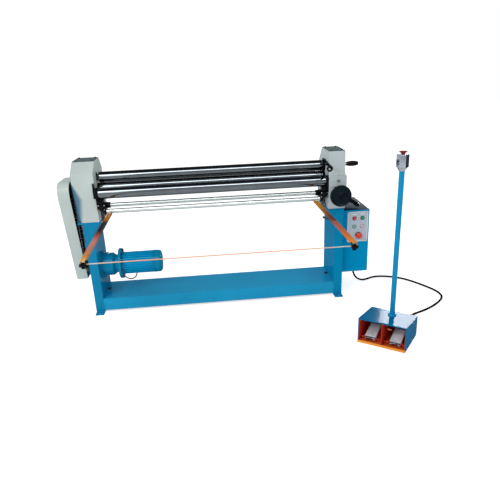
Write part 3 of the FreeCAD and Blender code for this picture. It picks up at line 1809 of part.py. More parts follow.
def pedal_base():
    """Orange liner of the foot station: floor, side walls, back wall, divider and lip."""
    sheet = S.tray_sheet
    half = S.station_wide / 2 - S.station_sheet
    deep = S.station_deep / 2
    back = deep - S.station_sheet
    outer = sloping("tray_outer", half, -deep, back, size(0), S.station_sheet)
    bays = []
    for side in (-1, 1):
        low, high = sorted((side * sheet / 2, side * (half - sheet)), key=float)
        span = (-deep - 1, back - sheet)
        bays.append(box(f"tray_bay_{side + 1}", (low, high), span, (sheet, S.station_tall)))
    hole = gland_hole("tray_gland_hole")
    pin = rod(
        "tray_pin_hole",
        "X",
        (-half - 1, -S.pin_front, S.pin_height),
        half * 2 + 2,
        S.pin_size / 2 + S.running_gap,
    )
    lip_half = half + sheet - 1
    lip = box("tray_lip", (-lip_half, lip_half), (-deep - sheet - 1, -deep), (size(0), S.tray_lip))
    liner = cut("tray_liner", outer, *bays, hole, pin)
    keep("pedal_base", in_station("pedal_base", fuse("tray_folded", liner, lip)))


def pedal_pin():
    """Rod that both pedals hinge on."""
    half = S.station_wide / 2 - S.station_sheet
    pin = rod("pedal_rod", "X", (-half, -S.pin_front, S.pin_height), half * 2, S.pin_size / 2)
    keep("pedal_pin", in_station("pedal_pin", pin))


def pedal(name, side):
    """Folded tread plate with two ears on the pin, rising to the back."""
    middle = side * S.pedal_offset
    tilt = Rotation(Vector(1, 0, 0), float(S.pedal_tilt))
    tread = Body(f"{name}_tread", (middle, -S.pin_front, S.pin_height), tilt)
    half = S.pedal_wide / 2
    sheet = S.pedal_sheet
    long = S.pedal_long
    section = [
        (-half, -8), (-half, 11), (half, 11), (half, -8),
        (half - 3, -8), (half - 3, 11 - sheet), (-half + 3, 11 - sheet), (-half + 3, -8),
    ]
    tread.pad(tread.outline("XZ", section, 10), long + 10, back=True)
    bore = rod(
        f"{name}_bore",
        "X",
        (middle - half - 1, -S.pin_front, S.pin_height),
        S.pedal_wide + 2,
        S.pin_size / 2 + S.running_gap,
    )
    keep(name, in_station(name, cut(f"{name}_plate", tread.body, bore)))


def pedal_post():
    """Tube with a foot flange, cut to the hood's slope, that carries the stop button."""
    radius = S.tube_size / 2
    deep = S.station_deep / 2
    seat = hood_top(S.tube_back)
    start = seat - S.flange_sheet * 2
    place = (S.tube_side, S.tube_back, start)
    tube = rod("post_tube", "Z", place, S.tube_top - start, radius)
    flange = rod("post_flange", "Z", place, S.flange_sheet * 3, radius + S.flange_reach)
    bore = rod("post_bore", "Z", place, S.tube_top - start + 2, radius - S.tube_wall)
    slope = sloping("post_slope", S.station_wide / 2, -deep, deep, size(0), size(0))
    post_solid = cut("post_hollow", fuse("post_solid", tube, flange), bore, slope)
    keep("pedal_post", in_station("pedal_post", post_solid))


def stop_station():
    """Hexagonal metal button head on top of the tube, and its mushroom."""
    base = S.tube_top
    wide = S.head_size / 2
    top = base + S.head_tall
    head = document.addObject("Part::Prism", "stop_prism")
    head.Polygon = 6
    head.Placement.Rotation = Rotation(Vector(0, 0, 1), float(S.head_turn))
    bind(head, Circumradius=wide, Height=S.head_tall - S.head_foot)
    put(head, S.tube_side, S.tube_back, base + S.head_foot)
    foot = document.addObject("Part::Cone", "stop_foot")
    bind(foot, Radius1=S.head_neck / 2, Radius2=wide * math.cos(math.pi / 6), Height=S.head_foot)
    put(foot, S.tube_side, S.tube_back, base)
    knob = S.knob_stem / 2
    axis = (S.tube_side, S.tube_back)
    bore = rod("stop_bore", "Z", (*axis, top - S.knob_tall), S.knob_tall + 1, knob + S.running_gap)
    shell = cut("stop_shell_bored", fuse("stop_shell", head, foot), bore)
    keep("stop_housing", in_station("stop_housing", shell))
    stem = rod("knob_stem", "Z", (*axis, top - S.knob_tall / 2), S.knob_tall, knob)
    funnel = document.addObject("Part::Cone", "knob_funnel")
    bind(funnel, Radius1=knob, Radius2=S.knob_size / 2, Height=S.knob_tall / 2)
    put(funnel, *axis, top + S.knob_tall / 2 - 1)
    rim = rod("knob_rim", "Z", (*axis, top + S.knob_tall - 1), S.knob_tall / 4, S.knob_size / 2)
    keep("station_button", in_station("station_button", fuse("knob", stem, funnel, rim)))


# ---------------------------------------------------------------- cables
def tube_along(name, points, diameter):
    """A round cable along straight runs joined by tangent arcs; prints each bend's radius."""
    points = [Vector(*(float(value) for value in point)) for point in points]
    edges = []
    start = points[0]
    radii = []
    for before, corner, after in zip(points, points[1:], points[2:]):
        arriving = corner - before
        leaving = after - corner
        turn = arriving.getAngle(leaving)
        trim = 0.45 * min(arriving.Length, leaving.Length)
        radii.append(trim / math.tan(turn / 2))
        arriving.normalize()
        leaving.normalize()
        enter = corner - arriving * trim
        leave = corner + leaving * trim
        bulge = (leaving - arriving)
        bulge.normalize()
        radius = radii[-1]
        centre = corner + bulge * (radius / math.cos(turn / 2))
        middle = centre - bulge * radius
        edges.append(Part.LineSegment(start, enter).toShape())
        edges.append(Part.Arc(enter, middle, leave).toShape())
        start = leave
    edges.append(Part.LineSegment(start, points[-1]).toShape())
    path = Part.Wire(edges)
    direction = points[1] - points[0]
    circle = Part.Wire(Part.makeCircle(diameter / 2, points[0], direction))
    tube = path.makePipeShell([circle], True, True)
    expected = math.pi * diameter ** 2 / 4 * path.Length
    print(name, "radii", [round(radius) for radius in radii], "volume", round(tube.Volume / expected, 4))
    return tube


def station_point(x, y, z):
    """Carry a point from the station's frame to the machine's frame."""
    turn = math.radians(float(S.station_turn))
    return (
        float(S.station_x) + x * math.cos(turn) - y * math.sin(turn),
        float(S.station_y) + x * math.sin(turn) + y * math.cos(turn),
        z,
    )


def foot_cable():
    """Cable from the control box, round on the floor, to the back of the foot station."""
    rest = S.cable_size.value / 2 + 0.1
    back = float(S.station_deep) / 2
    x = float(S.cable_x)
    y = float(S.cable_y)
    low = float(S.box_low)
    side = float(S.gland_side)
    height = float(S.gland_height)
    points = [
        (x, y, low + 1),
        (x, y, low - 39),
        (x + 6, y - 1, low - 79),
        (x + 28, y - 3, low - 114),
        (x + 65, y - 5, rest),
        (1000, 66, rest),
        (1041, 90, rest),
        (1095, 92, rest),
        (1165, 68, rest),
        (1227, 24, rest),
        (1278, -46, rest),
        (1322, -128, rest),
        (1352, -196, rest),
        (1361, -253, rest),
        (1350, -302, rest),
        (1315, -348, rest),
        (1262, -396, rest),
        (1199, -440, rest),
        (1140, -470, rest),
        (1088, -494, rest),
        (1046, -522, rest),
        station_point(side + 2, back + 110.5, rest),
        station_point(side, back + 70.5, 12),
        station_point(side, back + 34.5, height),
        station_point(side, back - 3.5, height),
    ]
    keep("foot_cable", made("foot_cable", tube_along("foot_cable", points, S.cable_size.value)))


def motor_cable():
    """Short lead that sags from the terminal box to the post."""
    start, end = lead_ends()
    x, y, low = (float(place) for place in start)
    points = [
        (x, y, low),
        (x, y, low - 46),
        (x - 4, y, low - 93),
        (x - 42, y, low - 114),
        (x - 80, y, low - 93),
        (x - 85, y, low - 50),
        (x - 97, y, low - 18),
        (x - 120, y, low + 4),
        (x - 149, y, low + 14),
        tuple(float(place) for place in end),
    ]
    keep("motor_cable", made("motor_cable", tube_along("motor_cable", points, S.lead_size.value)))


# ---------------------------------------------------------------- assembly
def build():
    """Make every sub-part."""
    post("left_post", -1, left_outer, True)
    post("right_post", 1, right_outer, False)
    base_beam()
    frame_bolts()
    left_housing()
    right_housing()
    housing_caps()
    screw_cover()
    lower_roll()
    upper_roll()
    front_roll()
    roll_bushes()
    bearing_plates()
    roll_gears()
    sprockets()
    drive_chain()
    chain_cover()
    output_shaft()
    gearbox()
    motor_body()
    fan_cover()
    terminal_box()
    pivot_bearing()
    upper_carrier()
    lock_screw()
    slide_blocks()
    adjusting_screw("right_screw", 1, True)
    adjusting_screw("left_screw", -1, False)
    gear_boxes()
    cross_shaft()
    wheel_shaft()
    handwheel()
    crank_handle()
    guard_bar()
    guard_arm("left_arm", -1, False)
    guard_arm("right_arm", 1, True)
    trip_wire()
    wire_clamps()
    trip_switch()
    control_box()
    control_panel()
    buttons()
    cable_glands()
    pedal_hood()
    pedal_base()
    pedal_pin()
    pedal("left_pedal", -1)
    pedal("right_pedal", 1)
    pedal_post()
    stop_station()
    foot_cable()
    motor_cable()


def check():
    """Stop if any object failed or any sub-part is not a sound solid."""
    document.recompute()
    failed = [item.Name for item in document.Objects if {"Invalid", "Error"} & set(item.State)]
    if failed:
        raise RuntimeError(f"failed objects: {failed}")
    for body in document.findObjects("PartDesign::Body"):
        solid = None
        for item in body.Group:
            kind = item.TypeId.split("::")[1]
            if kind in ("Pocket", "Groove") and item.Shape.Volume >= solid - 1e-3:
                raise RuntimeError(f"{item.Name} removed nothing")
            if item.TypeId.startswith("PartDesign::"):
                solid = item.Shape.Volume
    for name, item in PIECES.items():
        if item.Shape.isNull() or not item.Shape.isValid() or not item.Shape.Solids:
            raise RuntimeError(f"unsound shape: {name}")


def write():
    """Write each sub-part to its own file."""
    os.makedirs("parts", exist_ok=True)
    for name, item in PIECES.items():
        item.Shape.exportStep(f"parts/{name}.step")
    print(len(PIECES), "sub-parts")


build()
check()
write()
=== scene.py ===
"""Visual model of an electric slip roll.

The stand, housings, rolls, chain drive, gear-motor, bending slides, hand crank, trip guard,
control box and foot station are built in metres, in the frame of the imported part, and each
piece rides on one of its bodies.
"""

from __future__ import annotations

import json
import logging
import math
from abc import ABC, abstractmethod
from dataclasses import dataclass
from enum import Enum, IntEnum
from typing import Callable, Iterable, Sequence

import bmesh
import bpy
from mathutils import Matrix, Vector

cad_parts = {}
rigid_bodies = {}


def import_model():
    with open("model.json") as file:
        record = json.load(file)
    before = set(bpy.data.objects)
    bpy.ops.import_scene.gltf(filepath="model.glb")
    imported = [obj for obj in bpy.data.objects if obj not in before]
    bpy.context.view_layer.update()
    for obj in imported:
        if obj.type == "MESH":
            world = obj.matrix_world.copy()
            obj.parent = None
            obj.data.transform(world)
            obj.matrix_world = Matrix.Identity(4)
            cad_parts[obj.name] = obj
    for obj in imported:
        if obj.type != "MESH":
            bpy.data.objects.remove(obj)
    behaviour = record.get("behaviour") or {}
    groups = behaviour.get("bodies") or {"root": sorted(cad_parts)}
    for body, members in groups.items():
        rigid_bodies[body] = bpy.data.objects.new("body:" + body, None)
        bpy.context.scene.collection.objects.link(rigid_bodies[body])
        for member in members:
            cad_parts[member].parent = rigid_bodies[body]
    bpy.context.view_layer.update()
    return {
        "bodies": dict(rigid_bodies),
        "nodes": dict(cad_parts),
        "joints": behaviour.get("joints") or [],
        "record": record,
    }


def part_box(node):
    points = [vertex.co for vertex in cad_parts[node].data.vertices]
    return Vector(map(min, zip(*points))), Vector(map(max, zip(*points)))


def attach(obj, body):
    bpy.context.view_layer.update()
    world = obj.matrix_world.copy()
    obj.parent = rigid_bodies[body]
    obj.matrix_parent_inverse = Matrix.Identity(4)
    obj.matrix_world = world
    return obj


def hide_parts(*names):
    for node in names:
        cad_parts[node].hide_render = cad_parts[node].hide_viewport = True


LOG = logging.getLogger("slip_roll")
MM = 0.001
Colour = tuple[float, float, float, float]
Screen = tuple[int, int, int]
Point = tuple[float, float, float]
Pair = tuple[float, float]
Profile = Sequence[Pair]
Skin = bmesh.types.BMesh
Socket = bpy.types.NodeSocket


def linear(red: int, green: int, blue: int) -> Colour:
    """Turn a screen colour into scene-linear values.

    Args:
        red: Red from 0 to 255.
        green: Green from 0 to 255.
        blue: Blue from 0 to 255.

    Returns:
        The colour with an alpha of one.
    """
    def part(value: int) -> float:
        """Turn one of the three values."""
        share = value / 255
        return share / 12.92 if share <= 0.04045 else ((share + 0.055) / 1.055) ** 2.4

    return part(red), part(green), part(blue), 1.0


def shade(colour: Colour, factor: float) -> Colour:
    """Make a colour lighter or darker by a factor."""
    return tuple(min(1.0, part * factor) for part in colour[:3]) + (1.0,)


class Way(Enum):
    """The direction that a fastener or a turned piece faces."""

    LEFT = (-1, 0, 0)
    RIGHT = (1, 0, 0)
    FRONT = (0, -1, 0)
    BACK = (0, 1, 0)
    UP = (0, 0, 1)
    DOWN = (0, 0, -1)

    def at(self, x: float, y: float, z: float, roll: float = 0.0) -> Matrix:
        """Give a frame at a place in millimetres, its X axis facing this way, rolled about it by some degrees."""
        turn = Vector((1, 0, 0)).rotation_difference(Vector(self.value)).to_matrix().to_4x4()
        return Matrix.Translation(Vector((x, y, z)) * MM) @ turn @ Matrix.Rotation(math.radians(roll), 4, "X")


class Side(IntEnum):
    """The left or right one of a pair, which is also the sign of its place along X."""

    LEFT = -1
    RIGHT = 1


# ---------------------------------------------------------------- materials
class Axis(Enum):
    """An axis of object coordinates."""

    X = "X"
    Y = "Y"
    Z = "Z"


class Operation(Enum):
    """What a math node does with its one or two values."""

    ADD = "ADD"
    SUBTRACT = "SUBTRACT"
    MULTIPLY = "MULTIPLY"
    DIVIDE = "DIVIDE"
    MINIMUM = "MINIMUM"
    MAXIMUM = "MAXIMUM"
    ABSOLUTE = "ABSOLUTE"


class Graph:
    """A material's node tree with short ways to add and join nodes."""

    def __init__(self, name: str) -> None:
        """Start a material that holds one Principled shader.

        Args:
            name: The material's name.
        """
        self.material = bpy.data.materials.new(name)
        self.material.use_nodes = True
        self.tree = self.material.node_tree
        self.tree.nodes.clear()
        self.shader = self.node("ShaderNodeBsdfPrincipled")
        output = self.node("ShaderNodeOutputMaterial")
        self.link(self.shader.outputs[0], output.inputs[0])
        self.coordinates = self.node("ShaderNodeTexCoord").outputs["Object"]

    def node(self, kind: str, **settings: object) -> bpy.types.Node:
        """Add a node and set its properties.

        Args:
            kind: Blender's name for this kind of node.
            settings: The node's properties and their values.

        Returns:
            The new node.
        """
        made = self.tree.nodes.new(kind)
        for name, value in settings.items():
            setattr(made, name, value)
        return made

    def link(self, source: Socket, target: Socket) -> None:
        """Join an output to an input."""
        self.tree.links.new(source, target)

    def feed(self, target: Socket, value: object) -> None:
        """Link a socket to the target, or set the target to a plain value.

        Args:
            target: The input to fill.
            value: An output to link, or a plain value.
        """
        if isinstance(value, Socket):
            self.link(value, target)
        else:
            target.default_value = value

    def stretched(self, stretch: Point) -> Socket:
        """Give object coordinates scaled by a factor along each axis.

        Args:
            stretch: Scale factor along each axis.

        Returns:
            The scaled coordinates.
        """
        mapping = self.node("ShaderNodeMapping")
        self.link(self.coordinates, mapping.inputs["Vector"])
        mapping.inputs["Scale"].default_value = stretch
        return mapping.outputs[0]

    def noise(self, scale: float, detail: float = 3.0, stretch: Point = (1, 1, 1)) -> Socket:
        """Add a noise pattern.

        Args:
            scale: Patterns per metre.
            detail: Octaves of detail.
            stretch: Scale factor along each axis.

        Returns:
            The pattern's value.
        """
        texture = self.node("ShaderNodeTexNoise")
        self.link(self.stretched(stretch), texture.inputs["Vector"])
        texture.inputs["Scale"].default_value = scale
        texture.inputs["Detail"].default_value = detail
        return texture.outputs[0]

    def cells(self, scale: float) -> Socket:
        """Add a cell pattern and give its distance value.

        Args:
            scale: Cells per metre.

        Returns:
            The distance from the nearest cell's middle.
        """
        texture = self.node("ShaderNodeTexVoronoi")
        self.link(self.coordinates, texture.inputs["Vector"])
        texture.inputs["Scale"].default_value = scale
        return texture.outputs["Distance"]

    def along(self, axis: Axis) -> Socket:
        """Give one object coordinate in metres.

        Args:
            axis: The coordinate's axis.

        Returns:
            The coordinate.
        """
        split = self.node("ShaderNodeSeparateXYZ")
        self.link(self.coordinates, split.inputs[0])
        return split.outputs[axis.value]

    def span(self, value: Socket, low: float, high: float, bottom: float = 0.0, top: float = 1.0) -> Socket:
        """Spread a range of a value over another range, and clamp it.

        Args:
            value: The value to spread.
            low: Start of its range.
            high: End of its range.
            bottom: What the start becomes.
            top: What the end becomes.

        Returns:
            The new value.
        """
        spread = self.node("ShaderNodeMapRange")
        self.link(value, spread.inputs[0])
        for index, limit in enumerate((low, high, bottom, top), 1):
            spread.inputs[index].default_value = limit
        return spread.outputs[0]

    def combine(self, operation: Operation, first: object, second: object = 0.0) -> Socket:
        """Put one or two values through a math operation.

        Args:
            operation: The operation.
            first: First output or plain value.
            second: Second output or plain value, where the operation has one.

        Returns:
            The result.
        """
        made = self.node("ShaderNodeMath", operation=operation.value)
        self.feed(made.inputs[0], first)
        self.feed(made.inputs[1], second)
        return made.outputs[0]

    def blend(self, factor: Socket, first: object, second: object) -> Socket:
        """Blend from the first colour to the second.

        Args:
            factor: Share of the second colour.
            first: First colour, or the output that gives it.
            second: Second colour, or the output that gives it.

        Returns:
            The blended colour.
        """
        made = self.node("ShaderNodeMix", data_type="RGBA")
        self.link(factor, made.inputs[0])
        self.feed(made.inputs[6], first)
        self.feed(made.inputs[7], second)
        return made.outputs[2]

    def ramp(self, value: Socket, stops: Sequence[tuple[float, Screen]]) -> Socket:
        """Turn a value into a colour by stops.

        Args:
            value: The value, from 0 to 1.
            stops: Each stop's place from 0 to 1 and its screen colour, in order.

        Returns:
            The colour.
        """
        made = self.node("ShaderNodeValToRGB")
        elements = made.color_ramp.elements
        while len(elements) < len(stops):
            elements.new(0.5)
        for element, (place, colour) in zip(elements, stops):
            element.position = place
            element.color = linear(*colour)
        self.link(value, made.inputs[0])
        return made.outputs[0]

    def edges(self, radius: float) -> Socket:
        """Give a value that is high along sharp edges.

        Args:
            radius: How far the edge reaches, in metres.

        Returns:
            The edge value from 0 to 1.
        """
        rounded = self.node("ShaderNodeBevel", samples=4)
        rounded.inputs["Radius"].default_value = radius
        geometry = self.node("ShaderNodeNewGeometry")
        likeness = self.node("ShaderNodeVectorMath", operation="DOT_PRODUCT")
        self.link(rounded.outputs[0], likeness.inputs[0])
        self.link(geometry.outputs["True Normal"], likeness.inputs[1])
        return self.span(likeness.outputs["Value"], 0.995, 0.86)

    def relief(self, *layers: tuple[Socket, float, float], rounding: float = 0.0) -> None:
        """Give the surface its bumps, with edges that look rounded.

        Args:
            layers: Height value, strength and height in metres of each layer.
            rounding: Radius of the rounded edges in metres, or zero.
        """
        normal = None
        if rounding:
            rounded = self.node("ShaderNodeBevel", samples=4)
            rounded.inputs["Radius"].default_value = rounding
            normal = rounded.outputs[0]
        for height, strength, distance in layers:
            bump = self.node("ShaderNodeBump")
            bump.inputs["Strength"].default_value = strength
            bump.inputs["Distance"].default_value = distance
            self.link(height, bump.inputs["Height"])
            if normal is not None:
                self.link(normal, bump.inputs["Normal"])
            normal = bump.outputs[0]
        if normal is not None:
            self.link(normal, self.shader.inputs["Normal"])

    def set(self, **values: object) -> None:
        """Set or link shader inputs; an underscore in a name stands for a space."""
        for name, value in values.items():
            self.feed(self.shader.inputs[name.replace("_", " ")], value)


@dataclass(frozen=True)
class Finish(ABC):
    """A surface finish: its material name, a slot name that is not used, and its colour."""

    name: str
    slot: str
    colour: Screen

    def material(self) -> bpy.types.Material:
        """Give the finish's material, made on first use.

        Returns:
            The material.
        """
        found = bpy.data.materials.get(self.name)
        if found is None:
            graph = Graph(self.name)
            self.lay(graph)
            found = graph.material
        return found

    @abstractmethod
    def lay(self, graph: Graph) -> None:
        """Build the finish in a node graph."""


@dataclass(frozen=True)
class Enamel(Finish):
    """Sprayed enamel with orange peel, faint clouds, specks of dust, and worn edges partly lightened as painted edge
    highlight.
    """

    roughness: float = 0.34
    gloss: float = 0.0
    coat: float = 0.1
    # Share and colour of the edge marks: patchy wear, and painted edge highlight where the colour is lighter than the
    # paint.
    edge_blend: float = 0.35
    edge: float = 0.0022
    edge_wear_and_highlight: Screen = (150, 150, 145)

    def lay(self, graph: Graph) -> None:
        """Build the finish in a node graph.

        Args:
            graph: The material's graph.
        """
        base = linear(*self.colour)
        clouds = graph.span(graph.noise(3.2, 3), 0.32, 0.7)
        tone = graph.blend(clouds, shade(base, 0.92), shade(base, 1.07))
        dust = graph.span(graph.noise(330, 2), 0.66, 0.8, 0.0, 0.35)
        tone = graph.blend(dust, tone, shade(base, 0.72))
        # Worn edges blend toward the edge colour, which is partly painted edge highlight.
        patches = graph.span(graph.noise(30, 6), 0.42, 0.62, 0.1, 1.0)
        worn = graph.combine(Operation.MULTIPLY, graph.edges(self.edge), patches)
        worn = graph.combine(Operation.MULTIPLY, worn, self.edge_blend)
        graph.set(
            Base_Color=graph.blend(worn, self.tint(graph, tone), linear(*self.edge_wear_and_highlight)),
            Roughness=graph.span(graph.noise(11, 4), 0.3, 0.7, self.roughness * 0.85, self.roughness * 1.2),
            Specular_IOR_Level=self.gloss,
            Coat_Weight=self.coat,
            Coat_Roughness=0.12,
        )
        graph.relief((graph.noise(240, 1), 0.22, 0.0006), (graph.noise(6, 2), 0.15, 0.004), rounding=0.0015)

    def tint(self, graph: Graph, tone: Socket) -> Socket:
        """Give the enamel's own tone, unchanged."""
        return tone


@dataclass(frozen=True)
class FacetShadeEnamel(Enamel):
    """Enamel with painted blue-grey shade towards the facet on its lower outer corner.

    The band of painted shade has a width at the facet's foot, at the height where it is widest, and at its tip.
    Places are in metres.
    """

    facet_shade: Screen = (88, 128, 154)
    outer: float = -0.789
    front: float = -0.1375
    heights: Point = (0.57, 0.7, 0.794)
    widths: Point = (0.03, 0.05, 0.002)

    def tint(self, graph: Graph, tone: Socket) -> Socket:
        """Blend painted blue-grey shade into the tone beside the facet.

        Args:
            graph: The material's graph.
            tone: The enamel's own tone.

        Returns:
            The blended tone.
        """
        height = graph.along(Axis.Z)
        foot, waist, tip = self.heights
        low, wide, thin = self.widths
        below = graph.span(height, foot, waist, low, wide)
        above = graph.span(height, waist, tip, wide, thin)
        reach = graph.combine(Operation.SUBTRACT, graph.along(Axis.X), self.outer)
        share = graph.combine(Operation.DIVIDE, reach, graph.combine(Operation.MINIMUM, below, above))
        near = graph.span(share, 0.55, 1.1, 1.0, 0.0)
        face = graph.span(graph.along(Axis.Y), self.front + 0.024, self.front + 0.04, 1.0, 0.0)
        # Painted shade: blue-grey near the outer edge of the front, in a band that narrows up to the facet's tip.
        return graph.blend(graph.combine(Operation.MULTIPLY, near, face), tone, linear(*self.facet_shade))


@dataclass(frozen=True)
class TurnedSteel(Finish):
    """Steel with fine rings from the lathe along X, oil clouds and faint handling marks."""

    roughness: float = 0.16
    rings: float = 900.0
    dark: float = 0.6
    grain: float = 0.08

    def lay(self, graph: Graph) -> None:
        """Build the finish in a node graph.

        Args:
            graph: The material's graph.
        """
        base = linear(*self.colour)
        rings = graph.noise(self.rings, 2, (1, 0.01, 0.01))
        bands = graph.noise(16, 3, (1, 0.05, 0.05))
        clouds = graph.noise(9, 5)
        tone = graph.blend(graph.span(bands, 0.3, 0.7), shade(base, self.dark), base)
        tone = graph.blend(graph.span(clouds, 0.58, 0.75, 0.0, 0.3), tone, shade(base, 1.3))
        fine = graph.span(rings, 0.2, 0.8, 0.0, self.grain)
        rough = graph.combine(Operation.ADD, fine, graph.span(clouds, 0.4, 0.8, 0.0, self.grain))
        graph.set(
            Base_Color=tone,
            Metallic=1.0,
            Roughness=graph.combine(Operation.ADD, rough, self.roughness),
        )
        graph.relief((rings, 0.08, 0.00003), rounding=0.0006)


@dataclass(frozen=True)
class Machined(Finish):
    """Milled, forged or plated metal with grain in no one direction."""

    roughness: float = 0.3
    metallic: float = 1.0
    grain: float = 300.0
    height: float = 0.0003
    edge_tone: float = 1.8
    gloss: float = 0.5
    coat: float = 0.0

    def lay(self, graph: Graph) -> None:
        """Build the finish in a node graph.

        Args:
            graph: The material's graph.
        """
        base = linear(*self.colour)
        clouds = graph.noise(14, 5)
        tone = graph.blend(graph.span(clouds, 0.3, 0.72), shade(base, 0.75), shade(base, 1.12))
        patches = graph.span(graph.noise(60, 4), 0.35, 0.6, 0.25, 0.8)
        worn = graph.combine(Operation.MULTIPLY, graph.edges(0.0014), patches)
        graph.set(
            Base_Color=graph.blend(worn, tone, shade(base, self.edge_tone)),
            Metallic=self.metallic,
            Specular_IOR_Level=self.gloss,
            Roughness=graph.span(clouds, 0.25, 0.75, self.roughness * 0.75, self.roughness * 1.3),
            Coat_Weight=self.coat,
            Coat_Roughness=0.16,
        )
        graph.relief((graph.noise(self.grain, 4), 0.3, self.height), rounding=0.0008)


@dataclass(frozen=True)
class Moulded(Finish):
    """Moulded plastic or rubber with a fine grain and faint scuffs."""

    roughness: float = 0.36
    grain: float = 700.0
    glow: float = 0.0
    clear: float = 0.0
    coat: float = 0.0
    gloss: float = 0.3

    def lay(self, graph: Graph) -> None:
        """Build the finish in a node graph.

        Args:
            graph: The material's graph.
        """
        base = linear(*self.colour)
        clouds = graph.noise(45, 4)
        tone = graph.blend(graph.span(clouds, 0.35, 0.7), shade(base, 0.88), shade(base, 1.1))
        scuffs = graph.span(graph.noise(70, 6, (1, 1, 0.2)), 0.62, 0.72, 0.0, 0.25)
        graph.set(
            Base_Color=graph.blend(scuffs, tone, shade(base, 1.6)),
            Roughness=graph.span(clouds, 0.3, 0.7, self.roughness * 0.8, self.roughness * 1.2),
            Subsurface_Weight=self.glow,
            Subsurface_Scale=0.004,
            Transmission_Weight=self.clear,
            Specular_IOR_Level=self.gloss,
            Coat_Weight=self.coat,
            Coat_Roughness=0.08,
        )
        graph.relief((graph.noise(self.grain, 2), 0.2, 0.0003), rounding=0.0006)


@dataclass(frozen=True)
class TreadPlate(Finish):
    """Grey anti-slip coating with coarse grit and a sheen on its worn high spots."""

    def lay(self, graph: Graph) -> None:
        """Build the finish in a node graph.

        Args:
            graph: The material's graph.
        """
        base = linear(*self.colour)
        grit = graph.cells(260)
        spots = graph.span(grit, 0.05, 0.3)
        clouds = graph.span(graph.noise(24, 5), 0.35, 0.68)
        tone = graph.blend(clouds, shade(base, 0.78), shade(base, 1.15))
        graph.set(
            Base_Color=graph.blend(spots, shade(base, 1.35), tone),
            Metallic=0.1,
            Specular_IOR_Level=0.2,
            Roughness=graph.span(grit, 0.0, 0.4, 0.35, 0.7),
        )
        graph.relief((grit, 0.5, 0.0008), (graph.noise(150, 4), 0.3, 0.0006), rounding=0.0008)


@dataclass(frozen=True)
class GuardPaint(Finish):
    """Golden enamel on a guard arm, with painted shadow darkening part of its length and pinker tones along other
    parts.

    The bands give the tone, painted shadow included, at each share of the arm's reach from the bar to the wire.
    """

    bands: tuple[tuple[float, Screen], ...] = ()
    bare_and_lit_edge: Screen = (226, 196, 160)
    bar: float = -0.135
    reach: float = 0.767

    def lay(self, graph: Graph) -> None:
        """Build the finish in a node graph.

        Args:
            graph: The material's graph.
        """
        wobble = graph.span(graph.noise(22, 4), 0.3, 0.7, -0.012, 0.012)
        place = graph.combine(Operation.ADD, graph.along(Axis.Y), wobble)
        share = graph.span(place, self.bar, self.bar - self.reach)
        # Painted shadow: the ramp's dark stops stand for the rolls' shadow where the arm passes the post.
        tone = graph.ramp(share, self.bands)
        specks = graph.span(graph.noise(120, 4), 0.55, 0.75, 0.0, 0.3)
        tone = graph.blend(specks, tone, shade(linear(*self.colour), 0.6))
        # Worn edges blend toward a pale edge colour that is partly painted edge highlight.
        patches = graph.span(graph.noise(40, 5), 0.42, 0.6, 0.05, 0.45)
        worn = graph.combine(Operation.MULTIPLY, graph.edges(0.0016), patches)
        graph.set(
            Base_Color=graph.blend(worn, tone, linear(*self.bare_and_lit_edge)),
            Roughness=graph.span(graph.noise(20, 4), 0.3, 0.7, 0.3, 0.46),
            Specular_IOR_Level=0.0,
            Coat_Weight=0.08,
        )
        graph.relief((graph.noise(240, 2), 0.2, 0.0004), rounding=0.001)


@dataclass(frozen=True)
class CoatedWire(Finish):
    """Plastic-covered wire, peach in its middle and paler where it nears the clamps."""

    pale: Screen = (205, 200, 190)

    def lay(self, graph: Graph) -> None:
        """Build the finish in a node graph.

        Args:
            graph: The material's graph.
        """
        base = linear(*self.colour)
        reach = graph.combine(Operation.ABSOLUTE, graph.along(Axis.X))
        wobble = graph.span(graph.noise(12, 4), 0.3, 0.7, -0.04, 0.04)
        ends = graph.span(graph.combine(Operation.ADD, reach, wobble), 0.4, 0.55)
        tone = graph.blend(ends, base, linear(*self.pale))
        tone = graph.blend(graph.span(graph.noise(160, 4), 0.5, 0.75, 0.0, 0.4), tone, shade(base, 0.7))
        graph.set(Base_Color=tone, Roughness=graph.span(graph.noise(60, 3), 0.3, 0.7, 0.3, 0.5))
        graph.relief((graph.noise(700, 2), 0.2, 0.0002))


BLUE = Enamel("blue_enamel", "blue_paint", (8, 137, 184), coat=0.04, edge_wear_and_highlight=(90, 150, 180))
# Painted shade: a darker copy of the machine blue for the left post, whose faces stand in shade.
SHADED_LEFT_POST_BLUE = Enamel("left_post_enamel", "blue_paint", (16, 130, 174), edge_wear_and_highlight=(90, 150, 180))
# Painted light: a lighter copy of the machine blue for the beam.
LIT_BEAM_BLUE = Enamel("beam_enamel", "blue_paint", (30, 152, 198), edge_wear_and_highlight=(90, 160, 190))
TUBE_BLUE = Enamel("tube_enamel", "blue_paint", (16, 144, 196), roughness=0.25, coat=0.15, edge_wear_and_highlight=(90, 160, 190))
# Painted light: a lighter copy of the machine blue for the control box.
LIT_BOX_BLUE = Enamel("control_box_enamel", "blue_paint", (0, 146, 198), coat=0.05, edge_wear_and_highlight=(70, 140, 175))
HOOD_BLUE = Enamel("hood_enamel", "blue_paint", (0, 106, 154), roughness=0.16, coat=0.06, edge_wear_and_highlight=(60, 120, 160))
# The housings' pale yellow edge colour is painted edge highlight on their worn edges.
GREY = Enamel("grey_enamel", "grey_paint", (190, 202, 199), roughness=0.38, edge_wear_and_highlight=(236, 234, 214), edge_blend=0.5)
# The left housing's grey has painted blue-grey shade beside its lower front facet.
LEFT_GREY = FacetShadeEnamel(
    "left_housing_enamel", "grey_paint", (190, 202, 199), roughness=0.38, edge_wear_and_highlight=(236, 234, 214), edge_blend=0.5
)
